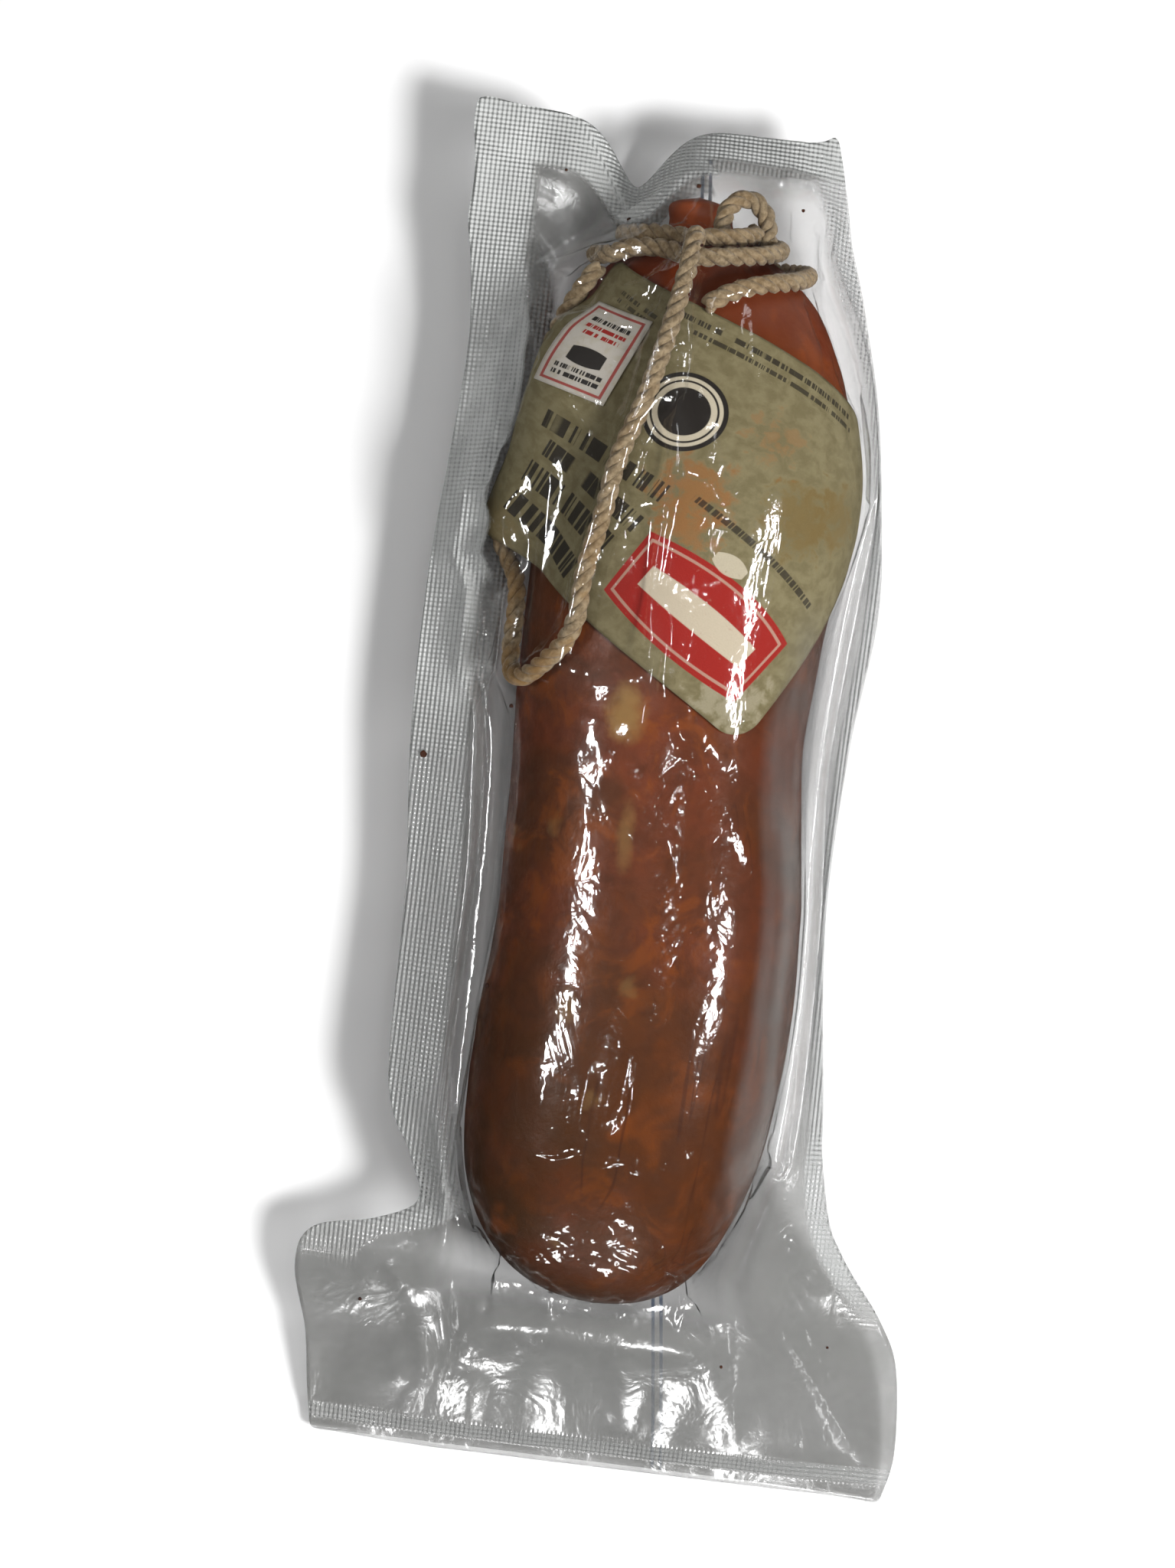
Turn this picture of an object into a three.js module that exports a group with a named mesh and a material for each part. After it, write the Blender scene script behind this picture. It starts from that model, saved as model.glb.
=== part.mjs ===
// A soft cured sausage in a natural casing, tied at the neck with twine, with a paper
// label and a small sticker laid on it, all sealed in a clear vacuum pouch of two films.
// Millimetres. The sausage lies along Y with its neck towards +Y and rests on z = 0.
// The origin is on that plane, below the middle of the pouch.
import * as THREE from "three";
import { mergeVertices } from "three/addons/utils/BufferGeometryUtils.js";

// Driving dimensions.
const SAUSAGE_TOP = 52.5; // highest point of the skin
const AXIS_HEIGHT = 24.5; // height of the sausage's axis over its middle
const SQUASH = (SAUSAGE_TOP - AXIS_HEIGHT) / 31.2; // height of a section beside its width
const REST_GAP = 0.9; // from the table to the sagged belly of the sausage
const TWINE_DIAMETER = 3.7;
const TWINE_SIDES = 8;
const LABEL_THICKNESS = 0.3;
const LABEL_LIFT = 0.7; // from the skin to the middle of the label
const STICKER_LIFT = 0.8; // from the middle of the label to the middle of the sticker
const FILM_THICKNESS = 0.4;
const SEAL_LIFT = 0.55; // half the distance between the films' middles where they meet
const TWINE_ROOM = 5.6; // how far the twine props the front film off the skin
const BODY_SHARE = 0.58; // share of a film's width that lies on the sausage
const BODY_ANGLE = 76; // degrees from the crest at which a film leaves the sausage
const ROOT_LENGTH = 2.5; // over which the two films close on each other beside it
// The top edge dips in a fold between the two corners.
const NOTCH = { x: -20.5, halfWidth: 7.5, start: 106, end: 132, back: 11.5, drop: 8 };

// The sausage's half-width at each station, as (half-width, y), from tail to nub.
const OUTLINE = new THREE.SplineCurve(
  [
    [0, -98.7],
    [11, -96.4],
    [19.5, -90.5],
    [26, -80],
    [29.6, -66],
    [30.7, -46],
    [29.8, -19],
    [28.8, 11],
    [30, 42],
    [31.2, 64],
    [28.4, 84],
    [23.6, 98],
    [17.6, 105],
    [12, 109],
    [7.6, 111.6],
    [6.5, 114],
    [5.9, 117.4],
    [0, 119.3],
  ].map(([r, y]) => new THREE.Vector2(r, y)),
);
// Its axis bows a little sideways, and sinks towards both ends, as (x, y, z).
const AXIS = new THREE.CatmullRomCurve3(
  [
    [-2.3, -98.7, 21],
    [-3.2, -78, 23.8],
    [-0.6, -26, AXIS_HEIGHT],
    [-3.3, 18, AXIS_HEIGHT],
    [-1.5, 64, AXIS_HEIGHT],
    [-4.9, 99, 23],
    [-7.9, 119.3, 20.5],
  ].map((p) => new THREE.Vector3(...p)),
);

const smooth = (from, to, value) => THREE.MathUtils.smoothstep(value, from, to);
const degrees = THREE.MathUtils.degToRad;

// A function of y that reads one number off a curve whose y only grows.
function along(curve, read) {
  const samples = curve.getPoints(400);
  return (y) => {
    const next = samples.findIndex((p) => p.y > y);
    if (next < 0) return read(samples[samples.length - 1]);
    if (next === 0) return read(samples[0]);
    const share = (y - samples[next - 1].y) / (samples[next].y - samples[next - 1].y);
    return THREE.MathUtils.lerp(read(samples[next - 1]), read(samples[next]), share);
  };
}
const halfWidth = along(OUTLINE, (p) => p.x);
const axisX = along(AXIS, (p) => p.x);
const axisZ = along(AXIS, (p) => p.z);

// The point of the skin at station y and an angle from the crest, positive towards +X.
function skin(y, angle) {
  const radius = halfWidth(y);
  const x = axisX(y) + radius * Math.sin(angle);
  const z = axisZ(y) + radius * SQUASH * Math.cos(angle);
  return new THREE.Vector3(x, y, Math.max(z, REST_GAP));
}

// The unit normal of a surface given as a function of two numbers.
function normalOf(surface, a, b, stepA, stepB) {
  const alongA = surface(a + stepA, b).sub(surface(a - stepA, b));
  const alongB = surface(a, b + stepB).sub(surface(a, b - stepB));
  return alongA.cross(alongB).normalize();
}

// The point that stands off the skin by a distance, square to it.
function offSkin(y, angle, distance) {
  const surface = (a, b) => skin(b, a);
  return skin(y, angle).addScaledVector(normalOf(surface, angle, y, 0.02, 0.5), distance);
}

// Welds a closed three.js geometry and moves each of its vertices with a function.
function reshape(geometry, move) {
  geometry.deleteAttribute("normal");
  geometry.deleteAttribute("uv");
  const welded = mergeVertices(geometry, 1e-5);
  const position = welded.getAttribute("position");
  for (let i = 0; i < position.count; i++) {
    const moved = move(new THREE.Vector3().fromBufferAttribute(position, i));
    position.setXYZ(i, moved.x, moved.y, moved.z);
  }
  const corners = Array.from(welded.index.array);
  const kept = corners.filter((_, i) => {
    const [a, b, c] = corners.slice(i - (i % 3), i - (i % 3) + 3);
    return a !== b && b !== c && c !== a;
  });
  welded.setIndex(kept);
  welded.computeVertexNormals();
  return welded;
}

// A sheet of even thickness laid on a surface, which takes u and v from 0 to 1.
function sheet(surface, thickness, across, lengthways) {
  const block = new THREE.BoxGeometry(1, 1, 1, across, lengthways, 1);
  return reshape(block, ({ x, y, z }) => {
    const normal = normalOf(surface, x + 0.5, y + 0.5, 0.004, 0.004);
    return surface(x + 0.5, y + 0.5).addScaledVector(normal, z * thickness);
  });
}

// A round twine along points, a step every two diameters.
function twine(points) {
  const route = new THREE.CatmullRomCurve3(points);
  const ring = new THREE.Shape();
  ring.absarc(0, 0, TWINE_DIAMETER / 2, 0, 2 * Math.PI, false);
  const tube = new THREE.ExtrudeGeometry(ring, {
    extrudePath: route,
    steps: Math.ceil(route.getLength() / (2 * TWINE_DIAMETER)),
    curveSegments: TWINE_SIDES,
    bevelEnabled: false,
  });
  return reshape(tube, (p) => p);
}

function mesh(name, geometry, look) {
  const made = new THREE.Mesh(geometry, new THREE.MeshStandardMaterial(look));
  made.name = name;
  return made;
}

// The sausage, with its gathered neck and the nub of casing past the tie.
function makeSausage() {
  const turned = new THREE.LatheGeometry(OUTLINE.getPoints(34), 28);
  const geometry = reshape(turned, ({ x, y, z }) => {
    const height = axisZ(y) + z * SQUASH;
    return new THREE.Vector3(axisX(y) + x, y, Math.max(height, REST_GAP));
  });
  return mesh("sausage", geometry, { color: 0x8f3f22, roughness: 0.45 });
}

// Twine routes, as [station y, degrees from the crest, distance off the skin].
const place = ([y, angle, distance]) => offSkin(y, degrees(angle), distance);

// Two turns round the neck, ending in the knot on the front.
function makeNeckTie() {
  const turns = [
    [99.5, 26, 2.6],
    [103, 48, 2.6],
    [105.5, 78, 2.5],
    [106.5, 115, 2.5],
    [106.8, 150, 2.5],
    [107.2, 185, 2.5],
    [108, 220, 2.5],
    [109, 255, 2.5],
    [109.8, 290, 2.6],
    [109.4, 325, 3.4],
    [108.6, 355, 4.2],
    [108.8, 385, 4.2],
    [110, 415, 3.6],
    [111.4, 450, 3.2],
    [112, 490, 3],
    [112, 530, 3],
    [112, 570, 3],
    [112, 600, 3.2],
  ];
  const look = { color: 0xa8906a, roughness: 0.95 };
  return mesh("neck_tie_twine", twine(turns.map(place)), look);
}

// The short loop of twine that stands up beside the nub.
function makeTopLoop() {
  const loop = [
    [2.6, 116.2, 33.2],
    [1, 117.8, 31],
    [1.4, 119.8, 28.5],
    [4.4, 120.6, 27],
    [7.2, 119.6, 26],
    [9.2, 117.4, 25],
    [10.8, 115.2, 24],
  ].map((p) => new THREE.Vector3(...p));
  return mesh("top_loop_twine", twine(loop), { color: 0xa8906a, roughness: 0.95 });
}

// The long hanging loop: down over the label, round, and back up along the left side.
function makeHangingLoop() {
  const loop = [
    [101.6, -15, 4.6],
    [97.2, -13, 4],
    [91, -14, 4],
    [84.9, -17.6, 4],
    [78.6, -21.5, 4],
    [66.1, -27, 4],
    [53.8, -30, 4],
    [41.5, -34, 4],
    [34, -34.5, 3.8],
    [28.5, -39, 3],
    [24.3, -48, 2.6],
    [21.3, -59, 2.6],
    [21.9, -69, 2.6],
    [26.4, -73, 2.6],
    [33, -73, 2.6],
    [39.3, -76, 2.8],
    [43.5, -82, 4.2],
    [49, -84, 6.6],
    [56, -86, 4.8],
    [64, -86, 3.2],
    [76, -86, 2.8],
    [88, -84, 2.8],
    [97, -80, 2.8],
    [100.5, -72, 3],
  ];
  const look = { color: 0xa8906a, roughness: 0.95 };
  return mesh("hanging_loop_twine", twine(loop.map(place)), look);
}

// A place between four corners, given as lower left, lower right, upper left, upper right.
function between([lowerLeft, lowerRight, upperLeft, upperRight], u, v) {
  const { lerp } = THREE.MathUtils;
  return [0, 1].map((i) =>
    lerp(lerp(lowerLeft[i], lowerRight[i], u), lerp(upperLeft[i], upperRight[i], u), v),
  );
}

// The label lies slantwise over the upper half. Its corners are [degrees from the crest,
// station y], and its left one is propped off the skin by the twine behind it.
const LABEL_CORNERS = [
  [-88, 50],
  [30, 12.5],
  [-52, 102.5],
  [118, 72],
];
function labelSurface(u, v) {
  const [angle, y] = between(LABEL_CORNERS, u, v);
  const prop = (1 - smooth(0, 0.24, u)) * (9.3 - 3.2 * smooth(0, 0.3, v));
  return offSkin(y, degrees(angle), LABEL_LIFT + prop * (1 - 0.75 * smooth(0.6, 1, v)));
}

function makeLabel() {
  const geometry = sheet(labelSurface, LABEL_THICKNESS, 16, 16);
  return mesh("paper_label", geometry, { color: 0xb4a681, roughness: 0.8 });
}

// The sticker lies on the label. Its corners are shares of the label's width and height.
const STICKER_CORNERS = [
  [0.03, 0.535],
  [0.2, 0.565],
  [0.05, 0.85],
  [0.21, 0.88],
];
function makeSticker() {
  const surface = (u, v) => {
    const [a, b] = between(STICKER_CORNERS, u, v);
    const normal = normalOf(labelSurface, a, b, 0.01, 0.01);
    return labelSurface(a, b).addScaledVector(normal, STICKER_LIFT);
  };
  const geometry = sheet(surface, LABEL_THICKNESS, 6, 6);
  return mesh("seal_sticker", geometry, { color: 0xd8d4c8, roughness: 0.6 });
}

// What the films wrap, tied twine included, at stations y from the bottom edge up:
// [y, centre x, height of the centre, half-width, rise above it, drop below it].
const WRAPPED = [
  [-133.5, 0, 3, 32, 0, 0],
  [-121, -0.5, 9.5, 31, 1.2, 0.6],
  [-109, -1, 15, 28, 5.5, 4.5],
  [-99, -2, 20.5, 26, 13.5, 11],
  [-92, -2.7, 22.5, 25.2, 20.4, 17.8],
  [-87, -2.9, 23.1, 26.9, 23.3, 21.4],
  [-80.5, -3.1, 23.6, 29.1, 26.3, 25.2],
  [-70, -2.5, 24.1, 31.8, 28.9, 28.6],
  [-60, -1.8, 24.4, 32.9, 30, 30],
  [-20, -0.7, AXIS_HEIGHT, 32.1, 29, 29],
  [11, -3.2, AXIS_HEIGHT, 31.5, 28.8, 28.8],
  [42, -2.6, AXIS_HEIGHT, 32.6, 29.4, 29.4],
  [64, -1.5, AXIS_HEIGHT, 33.7, 30.5, 30.5],
  [84, -2.6, 24.2, 31.6, 28.8, 28.8],
  [96, -4.3, 23.3, 29.2, 26.4, 26.4],
  [104, -4.4, 22.5, 25, 25, 22],
  [111, -3.4, 21.5, 21.5, 22, 18.5],
  [118, -2.6, 20.8, 20.5, 17.5, 12],
  [124, -6, 20, 20.5, 9, 5],
  [132.5, -12, 19, 24, 0, 0],
];
// The pouch's left and right edges at the same stations, as [x, y, z].
const LEFT_EDGE = [
  [-55.7, -133.6, 2.5],
  [-57.2, -124, 4.5],
  [-58.6, -113, 8],
  [-62, -99.5, 12],
  [-59.2, -91.4, 15],
  [-46.5, -87.6, 18],
  [-38.8, -82.8, 20],
  [-41.6, -74, 20],
  [-47.6, -60, 19],
  [-49, -22, 17],
  [-51.6, 8, 18],
  [-52, 38, 17.5],
  [-50.6, 64, 18],
  [-49.6, 86, 19],
  [-51, 101, 20],
  [-52.6, 110, 21],
  [-52.4, 117.5, 21],
  [-53, 124, 21],
  [-53.8, 129, 21],
  [-53.5, 134.6, 21],
];
const RIGHT_EDGE = [
  [60.4, -135.1, 2],
  [62, -124, 4.5],
  [60, -107, 7],
  [55.5, -97.5, 9],
  [48.6, -88.6, 11.5],
  [45.4, -84, 13],
  [42.4, -78.4, 14.5],
  [39.4, -66.5, 16.5],
  [38.4, -56, 13],
  [34.6, -20, 10],
  [35, 14, 10],
  [37.4, 42, 12],
  [35.6, 62, 13],
  [32.4, 82, 15],
  [28.6, 96, 17],
  [25.6, 106, 18],
  [23, 113.5, 19],
  [21.2, 121, 19],
  [19.6, 128, 19],
  [17.6, 135.1, 19],
];
const curveOf = (points) =>
  new THREE.CatmullRomCurve3(points.map((p) => new THREE.Vector3(...p)));
const wrappedAxis = curveOf(WRAPPED.map(([y, x, z]) => [x, y, z]));
const wrappedSize = curveOf(WRAPPED.map(([, , , width, rise, drop]) => [width, rise, drop]));
const leftEdge = curveOf(LEFT_EDGE);
const rightEdge = curveOf(RIGHT_EDGE);

// How far the twine and the label's corner prop the front film, at an angle and station.
function propping(angle, y) {
  const onTheLeft = 1 - smooth(degrees(-8), degrees(8), angle);
  const besideTheLoop = smooth(12, 24, y) * (1 - smooth(100, 112, y));
  const corner = 4.5 * smooth(36, 46, y) * (1 - smooth(54, 70, y)) * smooth(0.9, 1.3, -angle);
  return (TWINE_ROOM * onTheLeft + corner) * besideTheLoop;
}

// How a film runs: side is 1 for the front film and -1 for the back one. u goes from the
// left edge to the right edge and v from the bottom edge to the top edge. It gives the
// point between the two films, and how far this film bellies away from it.
function filmCourse(side, u, v) {
  const t = THREE.MathUtils.clamp(v, 0, 1);
  const across = 2 * u - 1;
  const centre = wrappedAxis.getPoint(t);
  const size = wrappedSize.getPoint(t);
  const angle = degrees(BODY_ANGLE) * THREE.MathUtils.clamp(across / BODY_SHARE, -1, 1);
  const prop = side > 0 ? propping(angle, centre.y) : 0;
  const reach = Math.max(side > 0 ? size.y : size.z, 0) + prop;
  const point = centre.clone();
  point.x += (size.x + prop) * Math.sin(angle);
  let belly = reach * Math.cos(angle);
  const outward = (Math.abs(across) - BODY_SHARE) / (1 - BODY_SHARE);
  if (outward > 0) {
    const edge = (across < 0 ? leftEdge : rightEdge).getPoint(t);
    const run = outward * Math.hypot(edge.x - point.x, edge.z - point.z);
    belly *= Math.exp(-run / ROOT_LENGTH);
    point.x = THREE.MathUtils.lerp(point.x, edge.x, outward);
    point.y = THREE.MathUtils.lerp(point.y, edge.y, outward * outward);
    point.z = THREE.MathUtils.lerp(point.z, edge.z, outward);
  }
  const fold = Math.exp(-(((point.x - NOTCH.x) / NOTCH.halfWidth) ** 2));
  const depth = fold * smooth(NOTCH.start, NOTCH.end, centre.y);
  point.y -= NOTCH.back * depth;
  point.z -= NOTCH.drop * depth;
  return { point, belly };
}

// The middle of a film, as a surface.
const filmSurface = (side) => (u, v) => {
  const between = (a, b) => filmCourse(side, a, b).point;
  const { point, belly } = filmCourse(side, u, v);
  point.addScaledVector(normalOf(between, u, v, 0.004, 0.004), side * SEAL_LIFT);
  point.z = Math.max(point.z + side * belly, FILM_THICKNESS / 2);
  return point;
};

// A film, with the underside of the back one dead flat where it rests.
function makeFilm(name, side) {
  const geometry = sheet(filmSurface(side), FILM_THICKNESS, 24, 38);
  const position = geometry.getAttribute("position");
  for (let i = 0; i < position.count; i++) {
    if (position.getZ(i) < 0.1) position.setZ(i, 0);
  }
  const look = { color: 0xd9dcdc, roughness: 0.15, transparent: true, opacity: 0.35 };
  return mesh(name, geometry, look);
}

const pack = new THREE.Group();
pack.add(makeSausage());
pack.add(makeNeckTie());
pack.add(makeTopLoop());
pack.add(makeHangingLoop());
pack.add(makeLabel());
pack.add(makeSticker());
pack.add(makeFilm("pouch_front_film", 1));
pack.add(makeFilm("pouch_back_film", -1));

export default pack;
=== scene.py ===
"""A tied cured sausage with its label, sealed in a clear vacuum pouch, laid out as an add-on."""

import math
import random

import bmesh
import bpy
import numpy as np
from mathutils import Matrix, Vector, noise
from mathutils.bvhtree import BVHTree


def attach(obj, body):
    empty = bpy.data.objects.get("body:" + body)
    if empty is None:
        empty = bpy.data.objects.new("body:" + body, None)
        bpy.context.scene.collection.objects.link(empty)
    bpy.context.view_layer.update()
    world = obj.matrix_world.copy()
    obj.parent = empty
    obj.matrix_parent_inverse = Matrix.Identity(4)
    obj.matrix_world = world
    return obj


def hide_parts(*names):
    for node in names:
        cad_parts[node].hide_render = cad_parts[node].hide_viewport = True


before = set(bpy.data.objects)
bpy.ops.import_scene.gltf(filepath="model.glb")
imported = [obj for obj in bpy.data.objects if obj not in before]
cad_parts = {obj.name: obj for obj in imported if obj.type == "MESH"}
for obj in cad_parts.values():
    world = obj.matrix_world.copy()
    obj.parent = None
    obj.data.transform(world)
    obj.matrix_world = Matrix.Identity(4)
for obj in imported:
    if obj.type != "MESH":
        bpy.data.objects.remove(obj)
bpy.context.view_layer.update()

bl_info = {
    "name": "Vacuum-packed cured sausage",
    "version": (1, 0, 0),
    "blender": (4, 5, 0),
    "location": "View3D > Sidebar > Packed Sausage",
    "description": "Builds a tied cured sausage and its label in a sealed clear pouch",
    "category": "Object",
}

# Shapes are worked out in millimetres and made in metres.
MM = 0.001

# ---------------------------------------------------------------------------
# The part's own lines, in millimetres. The sausage, the label and what the films wrap
# are as the CAD has them. The twine isn't, and the sticker lies 0.18 mm lower.

AXIS_HEIGHT = 24.5
SQUASH = (52.5 - AXIS_HEIGHT) / 31.2
REST_GAP = 0.9

# The sausage's half-width at each station, as (half-width, y), from tail to nub.
OUTLINE = [
    (0, -98.7),
    (11, -96.4),
    (19.5, -90.5),
    (26, -80),
    (29.6, -66),
    (30.7, -46),
    (29.8, -19),
    (28.8, 11),
    (30, 42),
    (31.2, 64),
    (28.4, 84),
    (23.6, 98),
    (17.6, 105),
    (12, 109),
    (7.6, 111.6),
    (6.5, 114),
    (5.9, 117.4),
    (0, 119.3),
]
# Its axis, as (x, y, z).
AXIS = [
    (-2.3, -98.7, 21),
    (-3.2, -78, 23.8),
    (-0.6, -26, AXIS_HEIGHT),
    (-3.3, 18, AXIS_HEIGHT),
    (-1.5, 64, AXIS_HEIGHT),
    (-4.9, 99, 23),
    (-7.9, 119.3, 20.5),
]
# Twine routes, as (station y, degrees from the crest, distance off the skin). They are
# not the CAD's: this neck tie is about 246 mm long and the CAD's about 130 mm, and it lies
# up to 13 mm from it. The hanging loop is up to 6 mm away, in its upper parts.
NECK_TIE = [
    (93.2, -1, 2.3),
    (95.8, 8, 2.7),
    (98.5, 24.5, 2.7),
    (100.6, 46.5, 2.6),
    (103.6, 78, 2.5),
    (105.6, 115, 2.5),
    (106.4, 150, 2.5),
    (106.6, 185, 2.5),
    (106.2, 220, 2.5),
    (104.8, 255, 2.5),
    (102.6, 285, 2.7),
    (101.8, 308, 3.1),
    (103.0, 323, 3.1),
    (102.8, 339, 3.0),
    (101.6, 352, 3.1),
    (102.6, 370, 2.9),
    (104.6, 395, 2.7),
    (107.4, 430, 2.6),
    (109.3, 470, 2.6),
    (109.8, 510, 2.6),
    (109.6, 550, 2.6),
    (108.6, 600, 2.6),
    (107.0, 650, 2.8),
    (106.2, 685, 3.1),
    (105.6, 709.5, 3.3),
    (106.8, 737, 3.0),
    (108.9, 765, 2.7),
    (110.6, 790, 2.5),
]
HANGING_LOOP = [
    (103.6, -6, 2.2),
    (104.6, -6.5, 4.0),
    (103.6, -7, 5.8),
    (101.2, -7.5, 6.1),
    (98.4, -8.5, 5.2),
    (95.2, -10.5, 4),
    (91.8, -12, 3.6),
    (84.7, -15.5, 3.6),
    (74.6, -20.5, 3.8),
    (62.7, -27.5, 4),
    (53.8, -30, 4),
    (41.5, -34, 4),
    (34, -34.5, 3.8),
    (28.5, -39, 3),
    (24.3, -48, 2.6),
    (21.3, -59, 2.6),
    (21.9, -69, 2.6),
    (26.4, -73, 2.6),
    (33, -73, 2.6),
    (39.3, -76, 2.8),
    (43.5, -82, 4.2),
    (49, -84, 6.6),
    (56, -86, 4.8),
    (64, -86, 3.2),
    (76, -84, 2.8),
    (85, -76, 2.8),
    (91.6, -67, 2.8),
    (96.8, -60, 2.8),
    (99.8, -56, 2.8),
]
# The top loop, as (x, y, z), up to 7 mm from the CAD's.
TOP_LOOP = [
    (-3.2, 109.6, 34.5),
    (-3.0, 112.2, 32.2),
    (-2.6, 115.4, 30.8),
    (-0.6, 117.8, 29.6),
    (2.4, 118.4, 28.4),
    (4.9, 116.2, 27.8),
    (6.0, 113.0, 28.0),
    (6.2, 109.6, 29.6),
]
# The label's corners, as (degrees from the crest, y): lower left, lower right, upper
# left, upper right. The sticker's are shares of the label's width and height.
LABEL_CORNERS = [(-88, 50), (30, 12.5), (-52, 102.5), (118, 72)]
STICKER_CORNERS = [(0.03, 0.535), (0.2, 0.565), (0.05, 0.85), (0.21, 0.88)]
LABEL_LIFT = 0.7
LABEL_SIZE = (73, 65)
STICKER_LIFT = 0.62
STICKER_SIZE = (14, 21)
# What the films wrap: (y, centre x, height of the centre, half-width, rise, drop).
WRAPPED = [
    (-133.5, 0, 3, 32, 0, 0),
    (-121, -0.5, 9.5, 31, 1.2, 0.6),
    (-109, -1, 15, 28, 5.5, 4.5),
    (-99, -2, 20.5, 26, 13.5, 11),
    (-92, -2.7, 22.5, 25.2, 20.4, 17.8),
    (-87, -2.9, 23.1, 26.9, 23.3, 21.4),
    (-80.5, -3.1, 23.6, 29.1, 26.3, 25.2),
    (-70, -2.5, 24.1, 31.8, 28.9, 28.6),
    (-60, -1.8, 24.4, 32.9, 30, 30),
    (-20, -0.7, AXIS_HEIGHT, 32.1, 29, 29),
    (11, -3.2, AXIS_HEIGHT, 31.5, 28.8, 28.8),
    (42, -2.6, AXIS_HEIGHT, 32.6, 29.4, 29.4),
    (64, -1.5, AXIS_HEIGHT, 33.7, 30.5, 30.5),
    (84, -2.6, 24.2, 31.6, 28.8, 28.8),
    (96, -4.3, 23.3, 29.2, 26.4, 26.4),
    (104, -4.4, 22.5, 25, 25, 22),
    (111, -3.4, 21.5, 21.5, 22, 18.5),
    (118, -2.6, 20.8, 20.5, 17.5, 12),
    (124, -6, 20, 20.5, 9, 5),
    (132.5, -12, 19, 24, 0, 0),
]
# The pouch's edges at the same stations, as (x, y, z).
LEFT_EDGE = [
    (-55.7, -133.6, 2.5),
    (-57.2, -124, 4.5),
    (-58.6, -113, 8),
    (-62, -99.5, 12),
    (-59.2, -91.4, 15),
    (-46.5, -87.6, 18),
    (-38.8, -82.8, 20),
    (-41.6, -74, 20),
    (-47.6, -60, 19),
    (-49, -22, 17),
    (-51.6, 8, 18),
    (-52, 38, 17.5),
    (-50.6, 64, 18),
    (-49.6, 86, 19),
    (-51, 101, 20),
    (-52.6, 110, 21),
    (-52.4, 117.5, 21),
    (-53, 124, 21),
    (-53.8, 129, 21),
    (-53.5, 134.6, 21),
]
RIGHT_EDGE = [
    (60.4, -135.1, 2),
    (62, -124, 4.5),
    (60, -107, 7),
    (55.5, -97.5, 9),
    (48.6, -88.6, 11.5),
    (45.4, -84, 13),
    (42.4, -78.4, 14.5),
    (39.4, -66.5, 16.5),
    (38.4, -56, 13),
    (34.6, -20, 10),
    (35, 14, 10),
    (37.4, 42, 12),
    (35.6, 62, 13),
    (32.4, 82, 15),
    (28.6, 96, 17),
    (25.6, 106, 18),
    (23, 113.5, 19),
    (21.2, 121, 19),
    (19.6, 128, 19),
    (17.6, 135.1, 19),
]
BODY_SHARE = 0.58
BODY_ANGLE = math.radians(76)
ROOT_LENGTH = 2.5
TWINE_ROOM = 5.6
# The dip in the pouch's top edge.
NOTCH_X = -20.5
NOTCH_WIDTH = 7.5
NOTCH_DEPTH = 11.5
# Folds pressed into both films where they meet: start x, y, end x, y, half-width, height.
FLANGE_FOLDS = [
    (27.0, -87.0, 56.0, -127.0, 1.3, 1.1),
    (32.5, -87.0, 57.5, -124.0, 1.1, 0.9),
    (54.0, -128.0, 30.0, -127.5, 1.3, 0.8),
    (-44.0, -95.5, -36.0, -103.0, 1.5, 0.9),
    (-36.0, -103.0, -33.5, -120.0, 1.7, 1.3),
    (-33.5, -118.0, -37.0, -131.0, 1.5, 1.0),
    (-14.0, -107.0, -13.0, -133.0, 4.6, 1.0),
    (-24.5, -115.0, -24.0, -133.0, 2.4, 0.7),
    (3.0, -103.0, 7.0, -128.0, 3.0, 0.8),
    (14.5, -112.0, 12.0, -132.0, 2.0, 0.7),
    (24.0, -106.0, 24.0, -128.0, 5.0, 0.7),
    (-58.0, -112.0, -57.0, -130.0, 2.6, 0.8),
    (-40.5, -112.0, -38.0, -122.0, 1.6, 0.8),
    (-31.0, -84.0, -37.5, -62.0, 1.2, 1.0),
    (-34.5, -84.0, -25.0, -104.0, 1.4, 1.0),
    (33.0, -80.0, 44.0, -92.0, 1.6, 1.0),
    (30.5, -104.0, 27.0, -86.0, 1.2, 0.8),
    (-36.5, -30.0, -44.0, -12.0, 1.4, 0.8),
    (-37.0, 10.0, -46.0, 2.0, 1.3, 0.8),
    (-38.0, 38.0, -47.0, 30.0, 1.3, 0.7),
    (-36.0, 70.0, -46.0, 78.0, 1.5, 0.8),
    (-42.0, 112.0, -26.0, 96.0, 1.6, 1.0),
    (-12.0, 128.0, -9.0, 120.0, 1.5, 0.7),
    (10.0, 127.0, 6.0, 117.0, 1.5, 0.8),
]
# The lap seam's course on the back film, below and above the middle: x for each metre
# of y, and x at y = 0, in metres.
SEAM_LOW = (-0.123, 0.0125 - 0.123 * 0.1145)
SEAM_HIGH = (-0.12, 0.12 * 0.1256 - 0.00715)
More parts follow.
